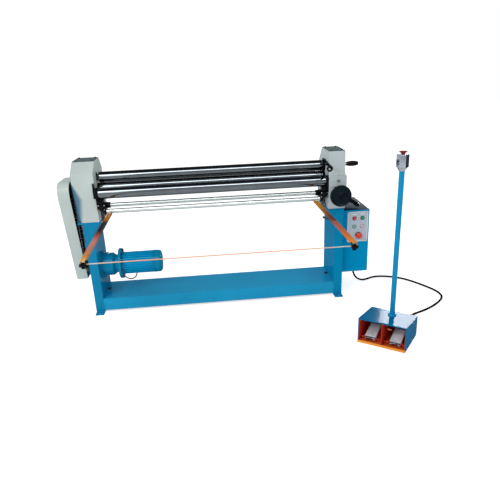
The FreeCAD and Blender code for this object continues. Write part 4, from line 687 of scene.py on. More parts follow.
# Painted shade: a bluer copy of the housing grey for the right housing, whose front stands in cooler shade.
SHADED_RIGHT_GREY = Enamel(
    "right_housing_enamel", "grey_paint", (190, 202, 206), roughness=0.38, edge_wear_and_highlight=(226, 228, 216), edge_blend=0.5
)
SLATE = Enamel("slate_enamel", "slate_paint", (78, 96, 100), roughness=0.3, edge_wear_and_highlight=(110, 124, 130))
# Painted reflection: dark slate on the box top for the hand wheel reflected in its glossy paint.
PAINTED_REFLECTION_SLATE = Enamel("box_lid_slate", "slate_paint", (16, 44, 58), roughness=0.12, coat=0.4, edge_wear_and_highlight=(80, 96, 104))
MOTOR_BLUE = Enamel("gearbox_enamel", "motor_paint", (8, 130, 172), roughness=0.3, edge_wear_and_highlight=(60, 120, 150))
BARREL_BLUE = Enamel("motor_enamel", "motor_paint", (12, 160, 208), roughness=0.3, edge_wear_and_highlight=(60, 130, 165))
PANEL = Enamel("panel_enamel", "panel_paint", (190, 200, 214), roughness=0.42, edge_blend=0.1)
BORDER = Enamel("panel_border_white", "panel_paint", (232, 236, 244), roughness=0.4, edge_blend=0.05)
# Painted shade: a darker copy of the tray orange for its shaded inner walls.
SHADED_TRAY_ORANGE = Enamel("tray_side_enamel", "tray_paint", (190, 44, 34), roughness=0.3, edge_wear_and_highlight=(200, 90, 60))
ORANGE = Enamel("tray_enamel", "tray_paint", (240, 110, 48), roughness=0.3, edge_wear_and_highlight=(244, 150, 60))
# Painted highlight: a lighter copy of the tray orange for its rolled lip.
LIT_TRAY_ORANGE = Enamel("tray_lip_enamel", "tray_paint", (252, 158, 56), roughness=0.3, edge_wear_and_highlight=(255, 210, 130))
# The arms' dark bands near the posts are painted shadow of the rolls.
RIGHT_GOLD = GuardPaint("right_arm_enamel", "orange_paint", (206, 132, 40), bands=(
    (0.0, (196, 134, 42)), (0.14, (190, 126, 46)), (0.3, (150, 96, 58)), (0.44, (110, 62, 48)), (0.52, (96, 52, 42)),
    (0.58, (170, 92, 78)), (0.72, (178, 98, 76)), (0.86, (206, 112, 42)), (1.0, (226, 140, 62)),
))
LEFT_GOLD = GuardPaint("left_arm_enamel", "orange_paint", (206, 132, 40), bands=(
    (0.0, (206, 116, 62)), (0.1, (196, 128, 50)), (0.2, (150, 100, 52)), (0.26, (44, 50, 64)), (0.46, (48, 36, 46)),
    (0.56, (160, 82, 62)), (0.66, (196, 126, 116)), (0.84, (190, 120, 96)), (0.93, (198, 132, 52)),
    (1.0, (232, 176, 110)),
))
WIRE = CoatedWire("trip_wire_cover", "orange_paint", (232, 168, 120))
ROLL = TurnedSteel("ground_roll_steel", "roll_steel", (92, 98, 102), roughness=0.03, grain=0.03, dark=0.85)
BRIGHT = TurnedSteel("bright_bar_steel", "bright_steel", (176, 184, 182), roughness=0.34, dark=0.94)
STEEL = Machined("dark_steel_finish", "dark_steel", (56, 58, 62), roughness=0.34)
PLATED = Machined("zinc_plate", "zinc", (170, 170, 168), roughness=0.26, grain=500, height=0.0001)
CHROME = Machined("polished_alloy", "alloy", (150, 158, 168), roughness=0.08, grain=600, height=0.00005, edge_tone=1.4)
IRON = Machined(
    "black_iron_finish", "black_iron", (9, 13, 16),
    roughness=0.5, metallic=0.0, grain=220, height=0.0008, gloss=0.0, coat=0.12,
)
WHEEL = Machined(
    "hand_wheel_iron", "black_iron", (12, 28, 34),
    roughness=0.4, metallic=0.0, grain=200, height=0.0005, gloss=0.0, coat=0.12,
)
BRONZE = Machined("bush_bronze", "bronze", (170, 124, 66), roughness=0.3)
BLACK = Moulded("black_plastic_finish", "black_plastic", (9, 10, 12), roughness=0.3, gloss=0.0, coat=0.15)
RED = Moulded("red_plastic_finish", "red_plastic", (176, 14, 44), roughness=0.3, glow=0.05, coat=0.1)
PALE_RED = Moulded("pale_red_plastic", "red_plastic", (218, 74, 92), roughness=0.34, coat=0.1)
ORANGE_RED = Moulded("mushroom_plastic", "red_plastic", (226, 58, 32), roughness=0.28, glow=0.05, coat=0.15)
DULL_RED = Moulded("dull_red_plastic", "red_plastic", (130, 50, 52), roughness=0.4, gloss=0.0)
GREEN = Moulded("green_plastic_finish", "green_plastic", (10, 116, 66), roughness=0.3, glow=0.05, coat=0.1)
PALE_GREEN = Moulded("pale_green_plastic", "green_plastic", (40, 160, 104), roughness=0.34, coat=0.1)
LENS_GREEN = Moulded("pale_green_lens", "lamp_plastic", (128, 176, 164), roughness=0.16, glow=0.2, coat=0.2)
LENS_BEIGE = Moulded("pale_beige_lens", "lamp_plastic", (206, 184, 184), roughness=0.16, glow=0.2, coat=0.2)
RIM_GREEN = Moulded("green_lamp_rim", "lamp_plastic", (98, 146, 136), roughness=0.3)
RIM_BEIGE = Moulded("beige_lamp_rim", "lamp_plastic", (182, 160, 168), roughness=0.3)
RUBBER = Moulded("cable_rubber_finish", "cable_rubber", (4, 4, 5), roughness=0.5, grain=1200, gloss=0.0)
TREAD = TreadPlate("pedal_tread", "tread_metal", (216, 218, 224))


# ---------------------------------------------------------------- shapes
@dataclass(frozen=True)
class Ring:
    """One ring of a turned shape, in millimetres; with corners it is a polygon of that radius."""

    along: float
    radius: float
    corners: int = 0

    def point(self, angle: float) -> Vector:
        """Give the ring's point at an angle, in metres.

        Args:
            angle: Turn about the axis, in radians.

        Returns:
            The point.
        """
        radius = self.radius
        if self.corners:
            half = math.pi / self.corners
            radius *= math.cos(half) / math.cos((angle % (2 * half)) - half)
        return Vector((self.along, radius * math.cos(angle), radius * math.sin(angle))) * MM


def softened(points: Profile, soft: float) -> list[Ring]:
    """Round the corners of a turned profile.

    Args:
        points: Place along the axis and radius of each corner, in millimetres.
        soft: How far each rounding reaches, in millimetres.

    Returns:
        The rings of the rounded profile.
    """
    rings = [Ring(*points[0])]
    for before, corner, after in zip(points, points[1:], points[2:]):
        start, middle, end = Vector(before), Vector(corner), Vector(after)
        reach = min(soft, (middle - start).length * 0.45, (end - middle).length * 0.45)
        if reach < 0.02:
            rings.append(Ring(*corner))
            continue
        enter = middle + (start - middle).normalized() * reach
        leave = middle + (end - middle).normalized() * reach
        for share in (0.0, 0.3, 0.7, 1.0):
            spot = enter * (1 - share) ** 2 + middle * (2 * share * (1 - share)) + leave * share ** 2
            rings.append(Ring(spot.x, spot.y))
    rings.append(Ring(*points[-1]))
    return rings


def spun(rings: Sequence[Ring], place: Matrix, segments: int = 72, closed: bool = False) -> Skin:
    """Turn rings about the local X axis into a skin.

    Args:
        rings: The rings in order along the profile.
        place: Where the local frame stands.
        segments: Sides of the skin.
        closed: Whether the last ring joins the first.

    Returns:
        The skin.
    """
    skin = bmesh.new()
    loops = []
    for ring in rings:
        count = 1 if ring.radius < 1e-4 else segments
        loops.append([skin.verts.new(place @ ring.point(2 * math.pi * step / segments)) for step in range(count)])
    pairs = list(zip(loops, loops[1:]))
    if closed:
        pairs.append((loops[-1], loops[0]))
    for first, second in pairs:
        for step in range(segments):
            after = (step + 1) % segments
            corners = [first[step % len(first)], first[after % len(first)]]
            corners += [second[after % len(second)], second[step % len(second)]]
            unique = list(dict.fromkeys(corners))
            if len(unique) > 2:
                skin.faces.new(unique)
    bmesh.ops.recalc_face_normals(skin, faces=skin.faces[:])
    return skin


def block(low: Point, high: Point, soft: float = 1.0, place: Matrix | None = None) -> Skin:
    """Make a block with rounded edges.

    Args:
        low: Lowest corner in millimetres.
        high: Highest corner in millimetres.
        soft: Radius of the edges in millimetres.
        place: Where the block's frame stands.

    Returns:
        The block's skin.
    """
    skin = bmesh.new()
    bmesh.ops.create_cube(skin, size=1.0)
    least, most = Vector(low) * MM, Vector(high) * MM
    spread = most - least
    for vertex in skin.verts:
        vertex.co = least + Vector([spread[axis] * (vertex.co[axis] + 0.5) for axis in range(3)])
    bmesh.ops.bevel(skin, geom=skin.edges[:], offset=soft * MM, segments=2, profile=0.5, affect="EDGES")
    if place is not None:
        skin.transform(place)
    return skin


def plate(outline: Profile, near: float, far: float, soft: float, place: Matrix) -> Skin:
    """Make a plate from an outline in the local XZ plane.

    Args:
        outline: Corners as X and Z in millimetres.
        near: Local Y of one face in millimetres.
        far: Local Y of the other face in millimetres.
        soft: Radius of the edges in millimetres.
        place: Where the plate's frame stands.

    Returns:
        The plate's skin.
    """
    skin = bmesh.new()
    rows = [[skin.verts.new(Vector((x, level, z)) * MM) for x, z in outline] for level in (near, far)]
    skin.faces.new(rows[0])
    skin.faces.new(rows[1][::-1])
    count = len(outline)
    for step in range(count):
        after = (step + 1) % count
        skin.faces.new((rows[0][step], rows[1][step], rows[1][after], rows[0][after]))
    bmesh.ops.recalc_face_normals(skin, faces=skin.faces[:])
    bmesh.ops.bevel(skin, geom=skin.edges[:], offset=soft * MM, segments=2, profile=0.5, affect="EDGES")
    skin.transform(place)
    return skin


def swept(path: Sequence[Vector], radius: Callable[[float, float], float], segments: int) -> Skin:
    """Carry a round section along a path.

    Args:
        path: Points in metres.
        radius: Radius in metres, from the distance along the path and the angle.
        segments: Sides of the section.

    Returns:
        The skin with closed ends.
    """
    skin = bmesh.new()
    side = (path[1] - path[0]).orthogonal().normalized()
    travelled = 0.0
    loops = []
    for index, spot in enumerate(path):
        after = path[min(index + 1, len(path) - 1)]
        before = path[max(index - 1, 0)]
        forward = (after - before).normalized()
        side = (side - forward * side.dot(forward)).normalized()
        up = forward.cross(side)
        if index:
            travelled += (spot - path[index - 1]).length
        loop = []
        for step in range(segments):
            angle = 2 * math.pi * step / segments
            reach = radius(travelled, angle)
            loop.append(skin.verts.new(spot + side * (reach * math.cos(angle)) + up * (reach * math.sin(angle))))
        loops.append(loop)
    for first, second in zip(loops, loops[1:]):
        for step in range(segments):
            after = (step + 1) % segments
            skin.faces.new((first[step], first[after], second[after], second[step]))
    skin.faces.new(loops[0][::-1])
    skin.faces.new(loops[-1])
    bmesh.ops.recalc_face_normals(skin, faces=skin.faces[:])
    return skin


def joined(parts: Iterable[Skin]) -> Skin:
    """Put several skins into one.

    Args:
        parts: The skins, which this uses up.

    Returns:
        The whole skin.
    """
    whole = bmesh.new()
    for part in parts:
        mesh = bpy.data.meshes.new("part")
        part.to_mesh(mesh)
        part.free()
        whole.from_mesh(mesh)
        bpy.data.meshes.remove(mesh)
    return whole


def bead(start: Point, end: Point, size: float = 2.6) -> Skin:
    """Make a rippled weld bead between two points given in millimetres.

    Args:
        start: One end of the bead.
        end: Its other end.
        size: Its radius, in millimetres.

    Returns:
        The bead's skin.
    """
    first, last = Vector(start) * MM, Vector(end) * MM
    count = max(8, int((last - first).length / (1.1 * MM)))
    path = [first.lerp(last, step / count) for step in range(count + 1)]
    length = (last - first).length

    def radius(travelled: float, angle: float) -> float:
        """Give the bead's radius, which ripples and falls towards both ends.

        Args:
            travelled: Distance along the bead, in metres.
            angle: Turn about it, in radians.

        Returns:
            The radius in metres.
        """
        ripple = 1 + 0.13 * math.sin(travelled / (0.75 * MM)) + 0.06 * math.sin(travelled / (5.3 * MM) + angle)
        ends = min(1.0, (travelled + 0.6 * MM) / (3 * MM), (length - travelled + 0.6 * MM) / (3 * MM))
        return size * MM * ripple * ends

    return swept(path, radius, 10)


class Fastener:
    """Bolt and screw heads, each built on a local frame whose X axis leaves the surface."""

    @staticmethod
    def hex_bolt(place: Matrix, radius: float, height: float, washer: float = 0.0) -> Skin:
        """Make a hexagon head, on a washer of a given radius if that isn't zero.

        Args:
            place: Frame on the surface, whose X axis leaves it.
            radius: Radius of the head, in millimetres.
            height: Its height, in millimetres.
            washer: Radius of the washer, in millimetres, or zero.

        Returns:
            The head's skin.
        """
        rings = []
        low = 0.0
        if washer:
            low = max(1.2, radius * 0.2)
            rings += [Ring(0, washer), Ring(low * 0.7, washer), Ring(low, washer - low * 0.4)]
        rings += [
            Ring(low, radius * 0.98, 6), Ring(low + height * 0.82, radius, 6), Ring(low + height, radius * 0.84),
            Ring(low + height * 0.97, radius * 0.3), Ring(low + height * 0.97, 0),
        ]
        return spun(rings, place, 48)

    @staticmethod
    def socket_screw(place: Matrix, radius: float, height: float) -> Skin:
        """Make a cap screw head with a hexagon socket.

        Args:
            place: Frame on the surface, whose X axis leaves it.
            radius: Radius of the head, in millimetres.
            height: Its height, in millimetres.

        Returns:
            The head's skin.
        """
        rings = [
            Ring(0, radius), Ring(height * 0.88, radius), Ring(height, radius * 0.88), Ring(height, radius * 0.6, 6),
            Ring(height * 0.45, radius * 0.56, 6), Ring(height * 0.4, 0),
        ]
        return spun(rings, place, 36)

    @staticmethod
    def pan_screw(place: Matrix, radius: float, height: float) -> Skin:
        """Make a domed head with a square driver recess.

        Args:
            place: Frame on the surface, whose X axis leaves it.
            radius: Radius of the head, in millimetres.
            height: Its height, in millimetres.

        Returns:
            The head's skin.
        """
        rings = [
            Ring(0, radius), Ring(height * 0.35, radius), Ring(height * 0.8, radius * 0.8),
            Ring(height, radius * 0.42, 4), Ring(height * 0.5, radius * 0.3, 4), Ring(height * 0.5, 0),
        ]
        return spun(rings, place, 32)


class Shop:
    """Adds finished pieces to the machine and dresses the nodes that it keeps."""

    def __init__(self, nodes: dict[str, bpy.types.Object]) -> None:
        """Remember the frame's nodes."""
        self.nodes = nodes

    def dress(self, finish: Finish, *nodes: str, bevel: float = 0.0) -> None:
        """Give kept nodes their finish.

        Args:
            finish: The finish.
            nodes: Node names.
            bevel: Width of rounded edges in millimetres, or zero.
        """
        for name in nodes:
            node = self.nodes[name]
            if not node.material_slots:
                node.data.materials.append(None)
            for slot in node.material_slots:
                slot.link = "OBJECT"
                slot.material = finish.material()
            if bevel:
                self.round_edges(node, bevel)
            LOG.info("dressed %s with %s", name, finish.name)

    @staticmethod
    def round_edges(node: bpy.types.Object, bevel: float) -> None:
        """Round a node's sharp edges with modifiers, which leave its mesh as it is.

        Args:
            node: The node.
            bevel: Width of the rounded edges, in millimetres.
        """
        weld = node.modifiers.new("weld", "WELD")
        weld.merge_threshold = 0.00002
        flat = node.modifiers.new("flat", "DECIMATE")
        flat.decimate_type = "DISSOLVE"
        flat.angle_limit = math.radians(0.6)
        edge = node.modifiers.new("edge", "BEVEL")
        edge.width = bevel * MM
        edge.segments = 3
        edge.limit_method = "ANGLE"
        edge.angle_limit = math.radians(32)
        normals = node.modifiers.new("normals", "WEIGHTED_NORMAL")
        normals.weight = 80
        normals.keep_sharp = False

    def add(
        self,
        name: str,
        skin: Skin,
        finish: Finish,
        body: str = "frame",
        replaces: Sequence[str] = (),
        smooth: float = 34.0,
    ) -> None:
        """Add a piece that rides on a body.

        Args:
            name: The piece's name.
            skin: Its skin, which this uses up.
            finish: Its finish.
            body: The body it rides on.
            replaces: Nodes that it stands for.
            smooth: Angle in degrees below which edges are shaded smooth.
        """
        mesh = bpy.data.meshes.new(name)
        skin.to_mesh(mesh)
        skin.free()
        mesh.shade_smooth()
        mesh.set_sharp_from_angle(angle=math.radians(smooth))
        mesh.materials.append(finish.material())
        piece = bpy.data.objects.new(name, mesh)
        bpy.context.scene.collection.objects.link(piece)
        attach(piece, body)
        if replaces:
            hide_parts(*replaces)
        LOG.info("added %s on %s", name, body)


# ---------------------------------------------------------------- camera and studio
@dataclass
class StudioCamera:
    """The camera, set by its place and three turns."""

    place: Point = (-0.038, -2.9825, 1.331)
    yaw: float = 5.04
    pitch: float = 20.80
    roll: float = -2.21
    lens: float = 36.086
    shift: Pair = (-0.0082, 0.0278)

    def build(self) -> None:
        """Make the camera and set it as the scene's."""
        yaw, pitch, roll = (math.radians(turn) for turn in (self.yaw, self.pitch, self.roll))
        forward = Vector((math.sin(yaw) * math.cos(pitch), math.cos(yaw) * math.cos(pitch), -math.sin(pitch)))
        right = Vector((math.cos(yaw), -math.sin(yaw), 0))
        up = right.cross(forward)
        across = right * math.cos(roll) + up * math.sin(roll)
        above = up * math.cos(roll) - right * math.sin(roll)
        data = bpy.data.cameras.new("camera")
        data.sensor_width = 36
        data.lens = self.lens
        data.shift_x, data.shift_y = self.shift
        data.clip_end = 60
        camera = bpy.data.objects.new("camera", data)
        axes = Matrix((across, above, -forward)).transposed().to_4x4()
        camera.matrix_world = Matrix.Translation(self.place) @ axes
        bpy.context.scene.collection.objects.link(camera)
        bpy.context.scene.camera = camera


@dataclass(frozen=True)
class Lamp:
    """A rectangular lamp, with its places and sizes in metres and its power in watts."""

    name: str
    place: Point
    target: Point
    size: Pair
    power: float
    sheen_only: bool = False

    def build(self) -> None:
        """Hang the lamp so that it faces its target."""
        data = bpy.data.lights.new(self.name, "AREA")
        data.shape = "RECTANGLE"
        data.size, data.size_y = self.size
        data.energy = self.power
        lamp = bpy.data.objects.new(self.name, data)
        lamp.location = self.place
        lamp.rotation_euler = (Vector(self.target) - Vector(self.place)).to_track_quat("-Z", "Y").to_euler()
        lamp.visible_camera = False
        lamp.visible_diffuse = not self.sheen_only
        bpy.context.scene.collection.objects.link(lamp)


@dataclass
class Studio:
    """White surroundings, a pale floor that keeps the machine's shadow, and soft lamps."""

    ambient: float = 0.6
    floor_size: float = 30.0
    floor_lift: float = 0.6
    lamps: tuple[Lamp, ...] = (
        Lamp("key", (-2.3, -2.8, 2.8), (0.0, 0.0, 0.45), (2.6, 2.0), 66),
        Lamp("fill", (2.8, -2.2, 2.2), (0.3, 0.0, 0.5), (1.6, 1.6), 10),
        Lamp("front_strip", (0.0, -1.6, 2.35), (0.0, -0.05, 0.8), (3.4, 0.55), 70, sheen_only=True),
        Lamp("back_card", (2.04, 1.6, 0.72), (0.9, -0.72, 0.12), (0.56, 0.6), 66, sheen_only=True),
    )

    def build(self) -> None:
        """Build the surroundings, the floor and the lamps."""
        bpy.context.scene.view_settings.view_transform = "Standard"
        self.surroundings()
        self.floor()
        for lamp in self.lamps:
            lamp.build()
        self.flag("overhead_flag", (0.0, 1.25, 2.6), 0.0, 2.2)
        self.flag("side_flag", (2.9, -1.0, 1.6), 90.0, 1.6)

    def flag(self, name: str, place: Point, lean: float, half: float) -> None:
        """Hang a dark card that only reflections show.

        Args:
            name: Name of the card.
            place: Its middle, in metres.
            lean: Turn about Y from lying flat, in degrees.
            half: Half its width, in metres.
        """
        card = self.sheet(name, half)
        card.location = place
        card.rotation_euler.y = math.radians(lean)
        card.visible_camera = card.visible_diffuse = card.visible_shadow = card.visible_transmission = False
        graph = Graph(f"{name}_cloth")
        cloth = graph.blend(graph.noise(3, 2), (0.05, 0.055, 0.07, 1), (0.09, 0.1, 0.12, 1))
        graph.set(Base_Color=cloth, Roughness=1.0)
        card.data.materials.append(graph.material)

    @staticmethod
    def sheet(name: str, half: float) -> bpy.types.Object:
        """Make a flat square of staging with half this width.

        Args:
            name: Name of the object and its mesh.
            half: Half the width, in metres.

        Returns:
            The object, at the origin and without a material.
        """
        skin = bmesh.new()
        bmesh.ops.create_grid(skin, x_segments=2, y_segments=2, size=half)
        mesh = bpy.data.meshes.new(name)
        skin.to_mesh(mesh)
        skin.free()
        made = bpy.data.objects.new(name, mesh)
        bpy.context.scene.collection.objects.link(made)
        return made

    def surroundings(self) -> None:
        """Make a world that is white to the camera and to reflections, and soft as a light."""
        world = bpy.data.worlds.new("studio")
        bpy.context.scene.world = world
        world.use_nodes = True
        tree = world.node_tree
        tree.nodes.clear()
        path = tree.nodes.new("ShaderNodeLightPath")
        strength = None
        for ray in ("Is Camera Ray", "Is Glossy Ray", "Is Transmission Ray"):
            step = tree.nodes.new("ShaderNodeMapRange")
            tree.links.new(path.outputs[ray], step.inputs[0])
            step.inputs[3].default_value = self.ambient
            if strength:
                tree.links.new(strength, step.inputs[3])
            strength = step.outputs[0]
        background = tree.nodes.new("ShaderNodeBackground")
        background.inputs["Color"].default_value = (1, 1, 1, 1)
        tree.links.new(strength, background.inputs["Strength"])
        output = tree.nodes.new("ShaderNodeOutputWorld")
        tree.links.new(background.outputs[0], output.inputs[0])

    def floor(self) -> None:
        """Make the floor, which is a little brighter to the camera than to the machine."""
        floor = self.sheet("floor", self.floor_size / 2)
        floor.location.z = -0.0005
        graph = Graph("floor_white")
        cloth = graph.blend(graph.span(graph.noise(2, 3), 0.3, 0.7), (0.88, 0.88, 0.88, 1), (0.92, 0.92, 0.92, 1))
        graph.set(Base_Color=cloth, Roughness=0.9, Emission_Color=(1, 1, 1, 1))
        path = graph.node("ShaderNodeLightPath")
        seen = graph.combine(Operation.MAXIMUM, path.outputs["Is Camera Ray"], path.outputs["Is Glossy Ray"])
        graph.set(Emission_Strength=graph.combine(Operation.MULTIPLY, seen, self.floor_lift))
        floor.data.materials.append(graph.material)


# ---------------------------------------------------------------- cords
@dataclass(frozen=True)
class Cord:
    """A cable given by the points that its line follows, in millimetres."""

    name: str
    node: str
    diameter: float
    length: float
    points: tuple[Point, ...]

    def build(self) -> None:
        data = bpy.data.curves.new(self.name, "CURVE")
        data.dimensions = "3D"
        data.bevel_depth = self.diameter / 2 * MM
        data.bevel_resolution = 6
        data.resolution_u = 10
        data.use_fill_caps = True
        spline = data.splines.new("NURBS")
        spline.points.add(len(self.points) - 1)
        for spot, point in zip(spline.points, self.points):
            spot.co = (point[0] * MM, point[1] * MM, point[2] * MM, 1)
        spline.order_u = 3
        spline.use_endpoint_u = True
        data.materials.append(RUBBER.material())
        cable = bpy.data.objects.new(self.name, data)
        bpy.context.scene.collection.objects.link(cable)
        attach(cable, "frame")
        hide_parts(self.node)
        LOG.info("laid %s", self.name)


FOOT_CABLE = Cord("foot_station_cable", "foot_cable", 12.0, 1380.0, (
    (887, 53, 137), (887, 53, 97), (893, 52, 57), (915, 50, 22), (952, 48, 6.1), (1000, 66, 6.1),
    (1041, 90, 6.1), (1095, 92, 6.1), (1165, 68, 6.1), (1227, 24, 6.1), (1278, -46, 6.1),
    (1322, -128, 6.1), (1352, -196, 6.1), (1361, -253, 6.1), (1350, -302, 6.1), (1315, -348, 6.1),
    (1262, -396, 6.1), (1199, -440, 6.1), (1140, -470, 6.1), (1088, -494, 6.1), (1046, -522, 6.1),
    (997.8, -568.3, 6.1), (972.0, -598.9, 12), (950.1, -627.5, 30), (927.1, -657.8, 30),
))
MOTOR_CABLE = Cord("motor_lead", "motor_cable", 7.0, 347.0, (
    (-523, 72, 232.76), (-523, 72, 186.76), (-527, 72, 139.76), (-565, 72, 118.76), (-603, 72, 139.76),
    (-608, 72, 182.76), (-620, 72, 214.76), (-643, 72, 236.76), (-672, 72, 246.76), (-711, 72, 246.76),
))


# ---------------------------------------------------------------- sub-assemblies
@dataclass
class Assembly(ABC):
    """A sub-assembly of the machine, with its sizes in millimetres."""

    @abstractmethod
    def build(self, shop: Shop) -> None:
        """Build and dress the sub-assembly's pieces."""


@dataclass
class Stand(Assembly):
    """Two welded columns, the channel between them, its bolts and the weld beads."""

    post_in: float = 711.0
    post_out: float = 762.0
    half_depth: float = 138.5
    beam_top: float = 88.0
    seat: float = 558.0
    bolt_inset: float = 15.0
    bolt_y: float = 16.0
    seat_columns: Pair = (680.0, 697.0)
    seat_rows: Pair = (-70.0, 80.0)

    def build(self, shop: Shop) -> None:
        """Build and dress the sub-assembly's pieces.

        Args:
            shop: The shop that adds and dresses the pieces.
        """
        # The left post's darker blue is painted shade.
        shop.dress(SHADED_LEFT_POST_BLUE, "left_post", bevel=1.6)
        shop.dress(BLUE, "right_post", bevel=1.6)
        # The beam's lighter blue is painted light.
        shop.dress(LIT_BEAM_BLUE, "base_beam", bevel=1.6)
        bolt_x = self.post_in - self.bolt_inset
        bolts = [
            Fastener.hex_bolt(Way.UP.at(side * bolt_x, self.bolt_y, self.beam_top, 12 * side), 9.8, 7, 10)
            for side in Side
        ]
        shop.add("beam_bolts", joined(bolts), STEEL, replaces=["frame_bolts"])
        shop.add("stand_welds", joined(self.welds()), BLUE)
        nuts = [
            Fastener.hex_bolt(Way.DOWN.at(side * x, y, self.seat, 9), 7.5, 6)
            for side in Side for x in self.seat_columns for y in self.seat_rows
        ]
        shop.add("seat_bolts", joined(nuts), PLATED)

    def welds(self) -> list[Skin]:
        """Lay beads where the beam, feet and gussets meet the columns.

        Returns:
            The beads.
        """
        beads = []
        for side in Side:
            x = side * self.post_in
            middle = side * (self.post_in + self.post_out) / 2
            near, far = side * (self.post_in + 3), side * (self.post_out - 3)
            for end in (-1, 1):
                # The beam's side, the column's foot and the gusset's slope.
                face, flange, rib = (end * (self.half_depth - inset) for inset in (0, 3.4, 6))
                beads.append(bead((x, flange, 14), (x, flange, 84), 2.2))
                beads.append(bead((near, face, 6.5), (far, face, 6.5), 2.4))
                beads.append(bead((x - side * 0.5, rib, 498), (x - side * 44, rib, 555), 1.8))
            # The beam's top and the seat plate's front.
            front = -self.half_depth
            beads.append(bead((x, front + 6, self.beam_top), (x, -front - 6, self.beam_top), 2.4))
            beads.append(bead((middle - 22, front + 2, 557), (middle + 22, front + 2, 557), 1.6))
        return beads


@dataclass
class Housings(Assembly):
    """The two castings with their lids, the screw cover and their screws."""

    lid_top: float = 904.0
    lids: tuple[tuple[float, float, float, float], ...] = ((-782, -672, -40, 80), (672, 755, -132, 24))
    cover_screw: Point = (719, -164.5, 732)

    def build(self, shop: Shop) -> None:
        """Build and dress the sub-assembly's pieces.

        Args:
            shop: The shop that adds and dresses the pieces.
        """
        # The left housing's finish paints shade beside its lower front facet.
        shop.dress(LEFT_GREY, "left_housing", bevel=2.6)
        # The right housing's bluer grey, also on the screw cover, is painted shade.
        shop.dress(SHADED_RIGHT_GREY, "right_housing", bevel=2.6)
        shop.dress(SLATE, "housing_caps", bevel=1.2)
        shop.dress(SHADED_RIGHT_GREY, "screw_cover", bevel=1.4)
        screws = [
            Fastener.socket_screw(Way.UP.at(x, y, self.lid_top, 8), 5.2, 4)
            for left, right, front, back in self.lids for x in (left + 10, right - 10) for y in (front + 6, back - 6)
        ]
        shop.add("lid_screws", joined(screws), STEEL)
        shop.add("cover_screw", Fastener.socket_screw(Way.FRONT.at(*self.cover_screw), 7.2, 7), STEEL)


@dataclass
class Rolls(Assembly):
    """The three rolls with their bushes, thrust plates and gears."""

    half: float = 652.0
    bed: float = 31.0
    pinch_y: float = -36.5
    lower_z: float = 743.5
    upper_z: float = 806.5
    front_y: float = -119.5
    front_z: float = 728.0
    groove_start: float = 6.0
    groove_step: float = 11.0

    def build(self, shop: Shop) -> None:
        """Build and dress the sub-assembly's pieces.

        Args:
            shop: The shop that adds and dresses the pieces.
        """
        for name, body, node, profile, y, z in (
            ("lower_forming_roll", "drive_roll", "lower_roll", self.lower_profile(), self.pinch_y, self.lower_z),
            ("upper_forming_roll", "top_roll", "upper_roll", self.upper_profile(), self.pinch_y, self.upper_z),
            ("bending_forming_roll", "bending_roll", "front_roll", self.front_profile(), self.front_y, self.front_z),
        ):
            shop.add(name, spun(softened(profile, 0.8), Way.RIGHT.at(0, y, z), 128), ROLL, body, [node])
        shop.dress(BRONZE, "roll_bushes")
        shop.dress(IRON, "bearing_plates", bevel=0.8)
        shop.dress(STEEL, "upper_gear", "lower_gear")

    def bed_points(self, left_neck: float, right_neck: float) -> list[Pair]:
        """Give the roll's working length with chamfered ends.

        Args:
            left_neck: Radius of the neck at the left end.
            right_neck: Radius of the neck at the right end.

        Returns:
            The profile's points, from left to right.
        """
        return [
            (-self.half, left_neck), (-self.half, self.bed - 1.2), (-self.half + 1.2, self.bed),
            (self.half - 1.2, self.bed), (self.half, self.bed - 1.2), (self.half, right_neck),
        ]

    def lower_profile(self) -> list[Pair]:
        """Give the driven roll's profile, with four wire grooves near its right end.

        Returns:
            The profile's points, from left to right.
        """
        bed = self.bed_points(20, 20)
        grooves = []
        for step in (3, 2, 1, 0):
            middle = self.half - self.groove_start - self.groove_step * step
            depth = 1.5 + 0.5 * step
            for turn in range(0, 181, 30):
                angle = math.radians(turn)
                grooves.append((middle - depth * math.cos(angle), self.bed - depth * math.sin(angle)))
        neck = [(-824, 0), (-824, 15), (-733, 15), (-733, 16), (-697, 16), (-697, 20)]
        return neck + bed[:3] + grooves + bed[3:] + [(690, 20), (690, 0)]

    def upper_profile(self) -> list[Pair]:
        """Give the slip-off roll's profile."""
        neck = [(-794, 0), (-794, 13), (-733, 13), (-733, 16), (-697, 16), (-697, 20)]
        return neck + self.bed_points(20, 15) + [(662.5, 15), (662.5, 0)]

    def front_profile(self) -> list[Pair]:
        """Give the bending roll's profile."""
        return [(-674.5, 0), (-674.5, 15)] + self.bed_points(15, 15) + [(674.5, 15), (674.5, 0)]


@dataclass
class ChainDrive(Assembly):
    """The chain, its wheels and their sheet cover."""

    cover_x: float = -795.0
    cover_top: float = 845.4

    def build(self, shop: Shop) -> None:
        """Build and dress the sub-assembly's pieces.

        Args:
            shop: The shop that adds and dresses the pieces.
        """
        shop.dress(GREY, "chain_cover", bevel=1.0)
        shop.dress(STEEL, "drive_chain", "roll_sprocket", "motor_sprocket", "output_shaft")
        screws = [
            Fastener.pan_screw(Way.UP.at(self.cover_x, y, self.cover_top, roll), 3.6, 2.4)
            for y, roll in ((8, 20), (22, 50))
        ]
        shop.add("cover_screws", joined(screws), PLATED)


